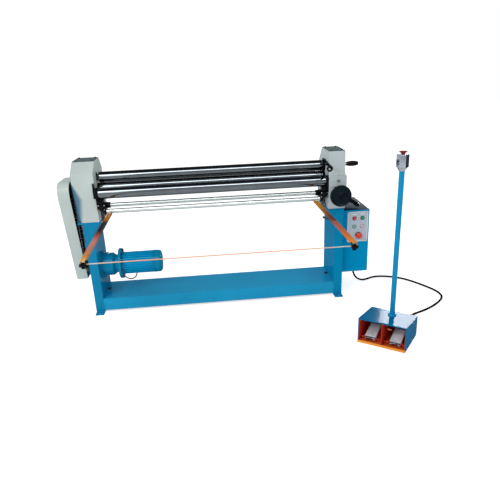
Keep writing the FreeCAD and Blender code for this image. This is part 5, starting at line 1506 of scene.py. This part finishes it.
@dataclass
class GearMotor(Assembly):
    """The gearbox, finned motor, fan cover, terminal box and their bolts."""

    axis_y: float = -18.0
    axis_z: float = 267.76
    foot: float = -711.0
    start: float = 124.0
    barrel: float = 196.0
    lid_low: Point = (-537.0, 89.5, 237.0)
    lid_high: Point = (-457.0, 93.5, 298.5)
    lid_inset: float = 6.0
    plug_along: float = 42.0
    plug_rise: float = 69.0
    shield: tuple[Pair, ...] = ((0, 58), (0, 67), (1.5, 68.4), (7, 68.4), (9, 66.5), (9, 58))

    def end(self) -> float:
        """Give the place where the barrel ends."""
        return self.foot + self.start + self.barrel

    def build(self, shop: Shop) -> None:
        """Build and dress the sub-assembly's pieces.

        Args:
            shop: The shop that adds and dresses the pieces.
        """
        shop.dress(MOTOR_BLUE, "gearbox")
        shop.dress(BARREL_BLUE, "motor_body", bevel=0.7)
        shop.dress(MOTOR_BLUE, "terminal_box", bevel=2.2)
        shop.add("gearbox_bolts", joined(self.bolts()), STEEL)
        shop.add("motor_end_rings", joined(self.end_rings()), MOTOR_BLUE)
        shop.add("fan_cup", self.cup(), MOTOR_BLUE, replaces=["fan_cover"])
        # Painted shade: dark discs stand for the shade inside the fan cup's air holes.
        shop.add("fan_slots", joined(self.slots()), BLACK)
        low, high, inset = self.lid_low, self.lid_high, self.lid_inset
        shop.add("terminal_lid", block(low, high, 1.2), MOTOR_BLUE)
        heads = [
            Fastener.pan_screw(Way.BACK.at(x, high[1], z, 15), 3.6, 2.4)
            for x in (low[0] + inset, high[0] - inset) for z in (low[2] + inset, high[2] - inset)
        ]
        spot = Way.UP.at(self.foot + self.plug_along, self.axis_y, self.axis_z + self.plug_rise)
        plug = Fastener.hex_bolt(spot, 8, 7, 10)
        shop.add("terminal_screws", joined(heads + [plug]), PLATED)

    def around(self, x: float, radius: float, count: int, turn: float = 0.0) -> list[Matrix]:
        """Place frames evenly about the motor's axis, all facing its fan.

        Args:
            x: Place along the axis, in millimetres.
            radius: Distance from the axis, in millimetres.
            count: How many frames.
            turn: Turn of the first one, in degrees.

        Returns:
            The frames.
        """
        spots = []
        for step in range(count):
            angle = math.radians(turn + 360 * step / count)
            y, z = self.axis_y + radius * math.cos(angle), self.axis_z + radius * math.sin(angle)
            spots.append(Way.RIGHT.at(x, y, z, 11 * step))
        return spots

    def bolts(self) -> list[Skin]:
        """Make the bolts of the foot and the motor flange.

        Returns:
            The bolt heads' skins.
        """
        base = self.around(self.foot + 12, 75.5, 6, 30)
        flange = self.around(self.foot + self.start, 81, 8, 22.5)
        heads = [Fastener.hex_bolt(place, 6.5, 5, 7.6) for place in base]
        return heads + [Fastener.hex_bolt(place, 8, 6, 10) for place in flange]

    def end_rings(self) -> list[Skin]:
        """Make the barrel's end shields.

        Returns:
            The shields' skins.
        """
        return [
            spun(softened(self.shield, 1.2), Way.RIGHT.at(start, self.axis_y, self.axis_z), 96)
            for start in (self.foot + self.start + 0.2, self.end() - 9)
        ]

    def cup(self) -> Skin:
        """Turn the fan's cup with a rounded edge and a shallow dish.

        Returns:
            The cup's skin.
        """
        rings = [Ring(0, 0), Ring(0, 67.4), Ring(1, 68.5), Ring(6, 68.5), Ring(7, 67.6), Ring(24, 67.6)]
        for turn in range(0, 91, 10):
            angle = math.radians(turn)
            rings.append(Ring(24 + 20 * math.sin(angle), 47.6 + 20 * math.cos(angle)))
        rings += [Ring(43.4, 44), Ring(43.4, 12), Ring(44, 10), Ring(44, 0)]
        return spun(rings, Way.RIGHT.at(self.end(), self.axis_y, self.axis_z), 96)

    def slots(self) -> list[Skin]:
        """Make painted shade for the fan cup's air holes, as rings of small dark discs.

        Returns:
            The holes' skins.
        """
        rings = [Ring(0, 0), Ring(0, 2.4), Ring(0.5, 2.2), Ring(0.5, 0)]
        return [
            spun(rings, place, 20)
            for radius, count in ((20, 8), (30, 12), (40, 16))
            for place in self.around(self.end() + 43.2, radius, count)
        ]


@dataclass
class SlipOff(Assembly):
    """The upper roll's pivot, its lifting lever and the clamp screw."""

    pinch_y: float = Rolls.pinch_y
    upper_z: float = Rolls.upper_z
    grip_start: float = 797.0
    grip_length: float = 72.0

    def build(self, shop: Shop) -> None:
        """Build and dress the sub-assembly's pieces.

        Args:
            shop: The shop that adds and dresses the pieces.
        """
        shop.dress(IRON, "upper_carrier", bevel=1.2)
        shop.dress(BRONZE, "pivot_ball", "pivot_socket")
        place = Way.RIGHT.at(0, self.pinch_y, self.upper_z)
        shaft = [Ring(664, 0), Ring(664, 9.4), Ring(665, 10), Ring(764, 10)]
        for step in range(9):
            crest = 766 + 3 * step
            shaft += [Ring(crest, 10), Ring(crest + 1.2, 8.9), Ring(crest + 1.8, 8.9)]
        shaft += [Ring(794, 10), Ring(800, 10), Ring(800, 0)]
        shop.add("clamp_screw_shaft", spun(shaft, place, 48), PLATED, "clamp_screw", ["lock_screw"])
        start, long = self.grip_start, self.grip_length
        grip = [Ring(start - 2, 9.6), Ring(start - 2, 10.6), Ring(start, 11)]
        for step in range(1, 25):
            share = step / 25
            grip.append(Ring(start + long * share, 15.5 * math.sin(math.pi * (0.16 + 0.68 * share)) ** 0.6))
        grip += [Ring(start + long - 0.6, 9.5), Ring(start + long, 6), Ring(start + long, 0)]
        shop.add("clamp_screw_grip", spun(grip, place, 64), BLACK, "clamp_screw")


@dataclass
class BendingSlides(Assembly):
    """The bending roll's slides, their screws, gear boxes and the shaft between them."""

    slide_in: float = 653.5
    slide_rows: Pair = (748.0, 684.0)
    slide_columns: Pair = (-148.0, -91.0)
    box_front: float = -146.0
    box_rows: Pair = (639.0, 664.0)
    box_columns: Pair = (625.0, 658.0)

    def build(self, shop: Shop) -> None:
        """Build and dress the sub-assembly's pieces.

        Args:
            shop: The shop that adds and dresses the pieces.
        """
        shop.dress(IRON, "slide_blocks", "gear_boxes", bevel=1.2)
        shop.dress(STEEL, "left_screw", "right_screw")
        shop.dress(BRIGHT, "cross_shaft")
        heads = [
            Fastener.socket_screw(way.at(side * self.slide_in, y, z, 7), 4.2, 3)
            for side, way in ((Side.LEFT, Way.RIGHT), (Side.RIGHT, Way.LEFT))
            for z in self.slide_rows for y in self.slide_columns
        ]
        shop.add("slide_screws", joined(heads), STEEL, "front_slide")
        lids = [
            Fastener.socket_screw(Way.FRONT.at(side * x, self.box_front, z, 7), 3.0, 2.4)
            for side in Side for x in self.box_columns for z in self.box_rows
        ]
        shop.add("gear_box_screws", joined(lids), PLATED)


@dataclass
class HandCrank(Assembly):
    """The crank shaft, the dished hand wheel with its arm, and the handle that turns on it."""

    x: float = 724.0
    z: float = 653.0
    front: float = -215.0
    right: float = 75.0
    drop: float = 37.0

    def build(self, shop: Shop) -> None:
        """Build and dress the sub-assembly's pieces.

        Args:
            shop: The shop that adds and dresses the pieces.
        """
        shop.dress(STEEL, "wheel_shaft")
        hub = [
            (-27, 10.1), (-27, 17), (-26, 18), (-3, 19.5), (0, 24), (0, 58.5), (2.4, 62.2), (8, 62.5), (13.6, 62.2),
            (16, 58.5), (16, 54.5), (12.2, 49), (11.6, 24), (14, 19), (16, 17.5), (16, 10.1),
        ]
        disc = spun(softened(hub, 1.8), Way.FRONT.at(self.x, self.front + 16, self.z), 112, closed=True)
        shop.add("crank_wheel", disc, WHEEL, "hand_crank", ["handwheel"])
        lean = Matrix.Rotation(math.atan2(self.drop, self.right), 4, "Y")
        place = Matrix.Translation(Vector((self.x, self.front, self.z)) * MM) @ lean
        throw = math.hypot(self.right, self.drop)
        outline = []
        for middle, radius, first in ((0.0, 16, 90), (throw, 11.5, -90)):
            for turn in range(first, first + 181, 15):
                angle = math.radians(turn)
                outline.append((middle + radius * math.cos(angle), radius * math.sin(angle)))
        arm = plate(outline, -7, 2, 1.6, place)
        hand_x, hand_z = self.x + self.right, self.z - self.drop
        hand = Way.FRONT.at(hand_x, self.front - 4, hand_z)
        pin = spun([Ring(0, 0), Ring(0, 9), Ring(4, 9), Ring(4.6, 5), Ring(72, 5), Ring(73, 4), Ring(73, 0)], hand, 32)
        nut = Fastener.hex_bolt(Way.FRONT.at(self.x, self.front - 6.5, self.z, 14), 12.5, 7.5, 14)
        shop.add("crank_arm", joined([arm, pin]), WHEEL, "hand_crank")
        shop.add("crank_nut", nut, IRON, "hand_crank")
        handle = [
            (0, 5.1), (0, 8.4), (1.2, 9.4), (8, 11.6), (18, 12.9), (34, 13.5), (50, 13.3), (62, 12.2), (70, 10.0),
            (74.5, 7.4), (76, 4.2), (76, 0), (69, 0), (69, 5.1),
        ]
        grip = spun(softened(handle, 1.6), Way.FRONT.at(hand_x, self.front - 8, hand_z), 64, closed=True)
        shop.add("crank_grip_handle", grip, BLACK, "crank_grip", ["crank_handle"])


@dataclass
class Guard(Assembly):
    """The swinging trip guard, its switch and the switch's lever."""

    bar_y: float = -135.0
    bar_z: float = 628.0
    half: float = 616.0
    arm_middles: Pair = (-601.5, 592.5)
    clamp_middles: Pair = (-592.5, 601.5)
    thumb_place: Pair = (-901.9, 582.2)
    jaw_place: Pair = (-913.2, 587.8)
    weld_height: float = 620.2
    weld_reach: float = 12.4
    switch_x: float = 704.0
    switch_face: float = -132.0
    switch_rows: Pair = (474.0, 506.0)
    cord_steps: int = 420
    cord_radius: float = 2.5
    thumb: tuple[Pair, ...] = (
        (0, 0), (0, 4), (3, 4), (3.4, 8), (4.4, 9.4), (10, 9.8), (11.4, 8.6), (11.8, 0),
    )

    def build(self, shop: Shop) -> None:
        """Build and dress the sub-assembly's pieces.

        Args:
            shop: The shop that adds and dresses the pieces.
        """
        end = self.half + 14
        profile = [
            (-end, 0), (-end, 7.4), (-end + 0.8, 8), (-self.half, 8), (-self.half, 12), (-self.half + 1, 13),
            (self.half - 1, 13), (self.half, 12), (self.half, 8), (end - 0.8, 8), (end, 7.4), (end, 0),
        ]
        bar = spun(softened(profile, 0.3), Way.RIGHT.at(0, self.bar_y, self.bar_z), 64)
        shop.add("guard_swing_bar", bar, BRIGHT, "guard", ["guard_bar"])
        shop.dress(LEFT_GOLD, "left_arm", bevel=0.9)
        shop.dress(RIGHT_GOLD, "right_arm", bevel=0.9)
        shop.dress(BLACK, "wire_clamps", bevel=1.2)
        shop.dress(BLACK, "trip_switch", bevel=1.6)
        shop.dress(STEEL, "trip_lever")
        low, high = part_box("trip_wire")
        middle = (low + high) / 2
        steps = self.cord_steps
        path = [Vector((low.x + (high.x - low.x) * step / steps, middle.y, middle.z)) for step in range(steps + 1)]

        def strand(travelled: float, angle: float) -> float:
            """Give the cord's radius, which six twisted strands raise and lower."""
            return self.cord_radius * MM * (0.95 + 0.05 * math.cos(6 * angle - travelled * 420))

        shop.add("trip_cord", swept(path, strand, 24), WIRE, "guard", ["trip_wire"])
        heads = []
        for x in self.clamp_middles:
            heads.append(spun(softened(self.thumb, 0.6), Way.DOWN.at(x, *self.thumb_place), 40))
            heads.append(Fastener.hex_bolt(Way.FRONT.at(x, *self.jaw_place, 8), 3.8, 2.6))
        shop.add("clamp_thumb_screws", joined(heads), BLACK, "guard")
        seams = [
            bead((x - 9, y, self.weld_height), (x + 9, y, self.weld_height), 2.0)
            for x in self.arm_middles for y in (self.bar_y - self.weld_reach, self.bar_y + self.weld_reach)
        ]
        shop.add("guard_welds", joined(seams), BRIGHT, "guard")
        switch = [
            Fastener.pan_screw(Way.FRONT.at(self.switch_x, self.switch_face, z, 20), 2.6, 1.6)
            for z in self.switch_rows
        ]
        shop.add("switch_screws", joined(switch), PLATED)


@dataclass
class ControlBox(Assembly):
    """The sheet box with its door, panel, buttons and lamps."""

    left: float = 797.0
    right: float = 927.0
    low: float = 333.0
    high: float = 525.0
    face: float = -102.5
    column: Pair = (840.0, 890.0)
    button_row: float = 484.0
    lamp_row: float = 431.0
    stop_place: Pair = (868.0, 376.0)
    border_width: float = 4.5
    # The sheet on the box top is painted reflection of the hand wheel.
    lid_low: Point = (763.0, -99.6, 533.4)
    lid_high: Point = (933.0, 229.4, 535.2)
    side_face: float = 934.0
    door_edges: tuple[float, float, float, float] = (-90.0, 220.0, 148.0, 522.0)
    hinges: Pair = (190.0, 450.0)
    hinge_y: float = 222.0
    lock_place: Pair = (-72.0, 335.0)

    def build(self, shop: Shop) -> None:
        """Build and dress the sub-assembly's pieces.

        Args:
            shop: The shop that adds and dresses the pieces.
        """
        # The box's lighter blue is painted light.
        shop.dress(LIT_BOX_BLUE, "control_box", bevel=1.6)
        # Painted reflection: a thin dark sheet on the box top.
        shop.add("box_lid", block(self.lid_low, self.lid_high, 0.6), PAINTED_REFLECTION_SLATE)
        shop.dress(PANEL, "control_panel", bevel=0.5)
        shop.add("panel_border", joined(self.border()), BORDER)
        shop.add("panel_screws", joined(self.corner_screws()), PLATED)
        blanks = [block((x - 11, self.face - 0.9, 504), (x + 11, self.face + 0.2, 511), 0.3) for x in self.column]
        shop.add("blank_strips", joined(blanks), BORDER)
        self.bezels(shop)
        self.push_button(shop, "stop_push", self.column[0], RED, PALE_RED, "stop", "stop_button")
        self.push_button(shop, "start_push", self.column[1], GREEN, PALE_GREEN, "start", "start_button")
        self.mushroom(shop)
        self.lamps(shop)
        self.door(shop)

    def border(self) -> list[Skin]:
        """Make the raised white frame near the panel's edge.

        Returns:
            The skins of the frame's four sides.
        """
        near, far = self.face - 1.1, self.face + 0.2
        left, right, low, high = self.left + 2, self.right - 2, self.low + 2, self.high - 2
        wide = self.border_width
        return [
            block((left, near, low), (left + wide, far, high), 0.4),
            block((right - wide, near, low), (right, far, high), 0.4),
            block((left, near, low), (right, far, low + wide), 0.4),
            block((left, near, high - wide), (right, far, high), 0.4),
        ]

    def corner_screws(self) -> list[Skin]:
        """Make the panel's corner screws.

        Returns:
            The screw heads' skins.
        """
        return [
            Fastener.pan_screw(Way.FRONT.at(x, self.face, z, 30), 3.4, 2.0)
            for x in (self.left + 12, self.right - 12) for z in (self.low + 12, self.high - 12)
        ]

    def bezels(self, shop: Shop) -> None:
        """Make the coloured rings round the buttons and lamps, and the mushroom's black one.

        Args:
            shop: The shop that adds and dresses the pieces.
        """
        left, right = self.column
        for name, x, z, bore, outer, finish in (
            ("stop_ring", left, self.button_row, 10.4, 14, RED),
            ("start_ring", right, self.button_row, 10.4, 14, GREEN),
            ("left_lamp_ring", left, self.lamp_row, 9.2, 13, RIM_GREEN),
            ("right_lamp_ring", right, self.lamp_row, 9.2, 13, RIM_BEIGE),
            ("emergency_ring", *self.stop_place, 8.4, 19, BLACK),
        ):
            profile = [(0, bore), (0, outer), (2.4, outer), (4.2, outer - 2.2), (4.2, bore)]
            skin = spun(softened(profile, 0.6), Way.FRONT.at(x, self.face, z), 56, closed=True)
            shop.add(name, skin, finish)

    def push_button(
        self, shop: Shop, name: str, x: float, rim: Finish, centre: Finish, body: str, node: str
    ) -> None:
        """Make a push button's cap with a dished centre.

        Args:
            shop: The shop that adds and dresses the pieces.
            name: The cap's name.
            x: Place of the button.
            rim: Finish of the cap.
            centre: Finish of its dished middle.
            body: The body it rides on.
            node: The node it stands for.
        """
        place = Way.FRONT.at(x, self.face, self.button_row)
        cap = [(-8, 0), (-8, 10), (7.6, 10), (9, 8.6), (9, 7.2), (8.2, 6.4), (8.2, 0)]
        shop.add(name, spun(softened(cap, 0.5), place, 56), rim, body, [node])
        dish = [Ring(8.25, 6.2), Ring(8.5, 5.6), Ring(8.3, 3), Ring(8.2, 0)]
        shop.add(f"{name}_centre", spun(dish, place, 48), centre, body)

    def mushroom(self, shop: Shop) -> None:
        """Make the emergency stop's mushroom.

        Args:
            shop: The shop that adds and dresses the pieces.
        """
        profile = [
            (-8, 0), (-8, 8), (10, 8), (12, 10), (13, 17), (14.5, 19.4), (17, 20), (20, 19), (22.6, 15.5),
            (23.7, 9), (24, 0),
        ]
        x, z = self.stop_place
        cap = spun(softened(profile, 1.2), Way.FRONT.at(x, self.face, z), 72)
        shop.add("emergency_push", cap, ORANGE_RED, "emergency", ["emergency_button"])

    def lamps(self, shop: Shop) -> None:
        """Make the two domed lamp lenses.

        Args:
            shop: The shop that adds and dresses the pieces.
        """
        lens = [(0, 0), (0, 9), (3.5, 9), (5.6, 7.8), (6.7, 5), (7, 0)]
        left, right = self.column
        for name, x, finish, nodes in (
            ("left_lamp", left, LENS_GREEN, ["panel_lamps"]),
            ("right_lamp", right, LENS_BEIGE, []),
        ):
            skin = spun(softened(lens, 0.8), Way.FRONT.at(x, self.face, self.lamp_row), 56)
            shop.add(name, skin, finish, replaces=nodes)

    def door(self, shop: Shop) -> None:
        """Make the door on the box's outer side with its hinges and lock.

        Args:
            shop: The shop that adds and dresses the pieces.
        """
        face, pin = self.side_face, self.hinge_y
        front, back, low, high = self.door_edges
        shop.add("box_door", block((face - 0.5, front, low), (face + 1.6, back, high), 0.8), BLUE)
        hinges = []
        for z in self.hinges:
            rings = softened([(0, 0), (0, 4), (36, 4), (36, 0)], 0.8)
            hinges.append(spun(rings, Way.UP.at(face + 2.6, pin, z), 24))
            hinges.append(block((face, pin - 17, z + 2), (face + 2.6, pin, z + 34), 0.6))
        shop.add("door_hinges", joined(hinges), PLATED)
        lock = softened([(0, 0), (0, 11), (3, 11), (4.4, 9.6), (4.4, 3.4), (3.2, 3), (3.2, 0)], 0.5)
        shop.add("door_lock", spun(lock, Way.RIGHT.at(face + 1.5, *self.lock_place), 48), PLATED)
        heads = [
            Fastener.pan_screw(Way.RIGHT.at(face + 2.6, pin - 11, z + rise, 10), 2.6, 1.6)
            for z in self.hinges for rise in (9, 27)
        ]
        shop.add("hinge_screws", joined(heads), PLATED)


@dataclass
class FootStation(Assembly):
    """The hooded foot station with two pedals, and the stop button on its tall tube."""

    x: float = 850.0
    y: float = -726.0
    turn: float = -37.3
    tilt: float = 18.4
    half: float = 124.5
    deep: float = 104.5
    tall: float = 137.0
    back_tall: float = 112.0
    pedal_side: float = 65.0
    pedal_half: float = 28.5
    pedal_long: float = 98.0
    pin_front: float = 78.0
    pin_height: float = 24.0
    tube_side: float = 9.0
    tube_back: float = 34.0
    tube_top: float = 878.0
    head_turn: float = 15.8

    def frame(self) -> Matrix:
        """Give the station's own frame."""
        place = Matrix.Translation(Vector((self.x, self.y, 0)) * MM)
        return place @ Matrix.Rotation(math.radians(self.turn), 4, "Z")

    def top(self, y: float) -> float:
        """Give the height of the hood's sloping top at a depth."""
        return self.tall - (self.tall - self.back_tall) * (y + self.deep) / (2 * self.deep)

    def build(self, shop: Shop) -> None:
        """Build and dress the sub-assembly's pieces.

        Args:
            shop: The shop that adds and dresses the pieces.
        """
        shop.dress(HOOD_BLUE, "pedal_hood", bevel=0.9)
        shop.dress(ORANGE, "pedal_base", bevel=0.9)
        # The pins take the darker copy of the tray orange, painted shade under the treads.
        shop.dress(SHADED_TRAY_ORANGE, "pedal_pin")
        for side in Side:
            self.pedal(shop, side)
        self.tube(shop)
        self.head(shop)
        self.bay_shade(shop)
        self.trim(shop)

    def pedal(self, shop: Shop, side: Side) -> None:
        """Make one tread plate with raised bars, a bent lip, two small feet and hinge ears.

        Args:
            shop: The shop that adds and dresses the pieces.
            side: Which of the two pedals it is.
        """
        name = side.name.lower()
        spot = Vector((side * self.pedal_side, -self.pin_front, self.pin_height)) * MM
        place = self.frame() @ Matrix.Translation(spot) @ Matrix.Rotation(math.radians(self.tilt), 4, "X")
        half, long = self.pedal_half, self.pedal_long
        tread = block((-half, -10, 7.4), (half, long, 10.4), 1.2, place)
        ears = [block((x, -10, -8), (x + 3, long, 9), 0.9, place) for x in (-half, half - 3)]
        bars = [block((-half + 5, y, 9.8), (half - 5, y + 3.2, 11.3), 0.7, place) for y in range(6, int(long) - 5, 9)]
        body = f"{name}_treadle"
        shop.add(f"{name}_tread", joined([tread, *ears, *bars]), TREAD, body, [f"{name}_pedal"])
        lip = block((-half + 0.5, -11.2, -3), (half - 0.5, -9.2, 10.8), 0.8, place)
        edge = block((-half + 0.5, -11, 10), (half - 0.5, -3, 11.2), 0.5, place)
        toes = [block((x, -13.2, -8), (x + 9, -10.2, 4), 1.0, place) for x in (-half + 2, half - 11)]
        shop.add(f"{name}_tread_lip", joined([lip, edge, *toes]), CHROME, body)

    def tube(self, shop: Shop) -> None:
        """Make the tall tube with its foot flange.

        Args:
            shop: The shop that adds and dresses the pieces.
        """
        place = self.frame() @ Way.UP.at(self.tube_side, self.tube_back, 0)
        foot, top = self.top(self.tube_back), self.tube_top
        low = foot - 2.4
        profile = [
            (low, 11), (low, 21.8), (foot + 5, 21.8), (foot + 6, 21), (foot + 6, 15), (foot + 8, 13.4), (foot + 10, 13),
            (top, 13), (top, 11),
        ]
        skin = spun(softened(profile, 0.5), place, 64, closed=True)
        shop.add("station_tube", skin, TUBE_BLUE, replaces=["pedal_post"])
        heads = []
        for step in range(3):
            angle = math.radians(30 + 120 * step)
            spot = (self.tube_side + 18 * math.cos(angle), self.tube_back + 18 * math.sin(angle))
            heads.append(Fastener.pan_screw(self.frame() @ Way.UP.at(*spot, foot + 6), 2.6, 1.8))
        shop.add("flange_screws", joined(heads), PLATED)

    def head(self, shop: Shop) -> None:
        """Make the hexagonal button head and its mushroom.

        Args:
            shop: The shop that adds and dresses the pieces.
        """
        place = self.frame() @ Way.UP.at(self.tube_side, self.tube_back, 0, self.head_turn - 90)
        shell = [Ring(self.tube_top + rise, *rest) for rise, *rest in (
            (0.1, 0), (0.1, 16), (3, 16.4), (15.6, 24.6), (16, 26, 6), (17.5, 28.6, 6), (18.5, 29, 6), (75, 29, 6),
            (76, 28.6, 6), (77, 27.4, 6), (77, 13), (73.5, 11), (73.5, 9.2), (63, 9.2), (63, 0),
        )]
        shop.add("stop_head", spun(shell, place, 72), CHROME, replaces=["stop_housing"], smooth=25)
        knob = [Ring(self.tube_top + rise, radius) for rise, radius in (
            (71, 0), (71, 8), (81, 8), (83, 9.6), (87, 17), (88.4, 18.8), (90.2, 18.6), (91, 16.8), (90.2, 8), (90, 0),
        )]
        shop.add("stop_head_mushroom", spun(knob, place, 64), DULL_RED, "station_stop", ["station_button"])

    def bay_shade(self, shop: Shop) -> None:
        """Make the painted shade on the bays' walls and the divider's edge, and the painted highlight on the tray's
        lip.

        Args:
            shop: The shop that adds and dresses the pieces.
        """
        frame = self.frame()
        inside = self.half - 5
        low = self.back_tall - 5
        # Painted shade: thin sheets of darker tray orange on the bays' walls and the divider's edge.
        walls = [
            block((x, -self.deep + 1, 3.1), (x + 0.8, self.deep - 6, low), 0.3, frame)
            for x in (-inside, inside - 0.8, -2.3, 1.5)
        ]
        walls.append(block((-inside, self.deep - 5.9, 3.1), (inside, self.deep - 5.1, low), 0.3, frame))
        walls.append(block((-2.3, -self.deep - 0.6, 13), (2.3, -self.deep + 1.5, self.tall - 7.5), 0.3, frame))
        shop.add("bay_linings", joined(walls), SHADED_TRAY_ORANGE)
        # Painted highlight: lighter orange sheets laid over the rolled front lip.
        lip = block((-self.half, -self.deep - 4.6, 0.2), (self.half, -self.deep - 3.8, 12.4), 0.3, frame)
        cap = block((-self.half, -self.deep - 4.6, 11.8), (self.half, -self.deep - 0.2, 12.6), 0.3, frame)
        shop.add("tray_lip_paint", joined([lip, cap]), LIT_TRAY_ORANGE)

    def trim(self, shop: Shop) -> None:
        """Add the hood's screws, its folded edges and the small tab on the divider.

        Args:
            shop: The shop that adds and dresses the pieces.
        """
        frame = self.frame()
        heads = []
        for side, way in ((Side.LEFT, Way.LEFT), (Side.RIGHT, Way.RIGHT)):
            for y, z in ((-80, 12), (20, 12), (20, self.top(20) - 12), (92, 12), (92, self.top(92) - 12)):
                heads.append(Fastener.pan_screw(frame @ way.at(side * self.half, y, z, 20), 3.2, 1.8))
        shop.add("hood_screws", joined(heads), PLATED)
        half, front = self.half - 2, -self.deep
        folds = [block((-half, front - 0.1, self.tall - 7), (half, front + 2.1, self.tall - 0.4), 0.7, frame)]
        for x in (-self.half, self.half - 4.6):
            folds.append(block((x, front - 0.6, 13), (x + 4.6, front + 1, self.tall - 6), 0.5, frame))
        shop.add("hood_fold", joined(folds), HOOD_BLUE)
        # The tab takes the lighter copy of the tray orange, a painted highlight.
        tab = block((6, -62, 86), (28, -59, 92), 0.7, frame @ Matrix.Rotation(math.radians(6), 4, "Y"))
        shop.add("divider_tab", tab, LIT_TRAY_ORANGE)


@dataclass
class Glands(Assembly):
    """Cable glands and collars, which together stand for their node."""

    box_end: Point = (887.0, 53.0, 136.0)
    hood_end: Point = (20.0, 104.5, 30.0)

    def build(self, shop: Shop) -> None:
        """Build and dress the sub-assembly's pieces.

        Args:
            shop: The shop that adds and dresses the pieces.
        """
        rings = [
            Ring(-5, 6.1), Ring(-5, 8.9), Ring(0, 8.9), Ring(0, 11.9, 6), Ring(5, 11.9, 6), Ring(5.6, 11.3),
            Ring(6.4, 10.9), Ring(11, 10.7), Ring(14.4, 9.5), Ring(16, 7.7), Ring(16, 6.1),
        ]
        collar = softened([(0, 3.6), (0, 7.5), (3, 7.5), (4, 6.6), (9, 5.6), (10, 4.8), (10, 3.6)], 0.4)
        box_end = Way.DOWN.at(*self.box_end)
        hood_end = FootStation().frame() @ Way.BACK.at(*self.hood_end)
        parts = [spun(rings, place, 48, closed=True) for place in (box_end, hood_end)]
        lid_end, post_end = Way.DOWN.at(*MOTOR_CABLE.points[0]), Way.RIGHT.at(*MOTOR_CABLE.points[-1])
        parts += [spun(collar, place, 36, closed=True) for place in (lid_end, post_end)]
        shop.add("gland_nuts", joined(parts), BLACK, replaces=["cable_glands"])


def main() -> None:
    """Load the frame, set up the studio, and build every sub-assembly in order."""
    logging.basicConfig(level=logging.INFO, format="%(message)s")
    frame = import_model()
    StudioCamera().build()
    FOOT_CABLE.build()
    MOTOR_CABLE.build()
    Studio().build()
    shop = Shop(frame["nodes"])
    assemblies: tuple[Assembly, ...] = (
        Stand(), Housings(), Rolls(), ChainDrive(), GearMotor(), SlipOff(), BendingSlides(),
        HandCrank(), Guard(), ControlBox(), FootStation(), Glands(),
    )
    for assembly in assemblies:
        assembly.build(shop)
        LOG.info("built %s", type(assembly).__name__)


if __name__ == "__main__":
    main()
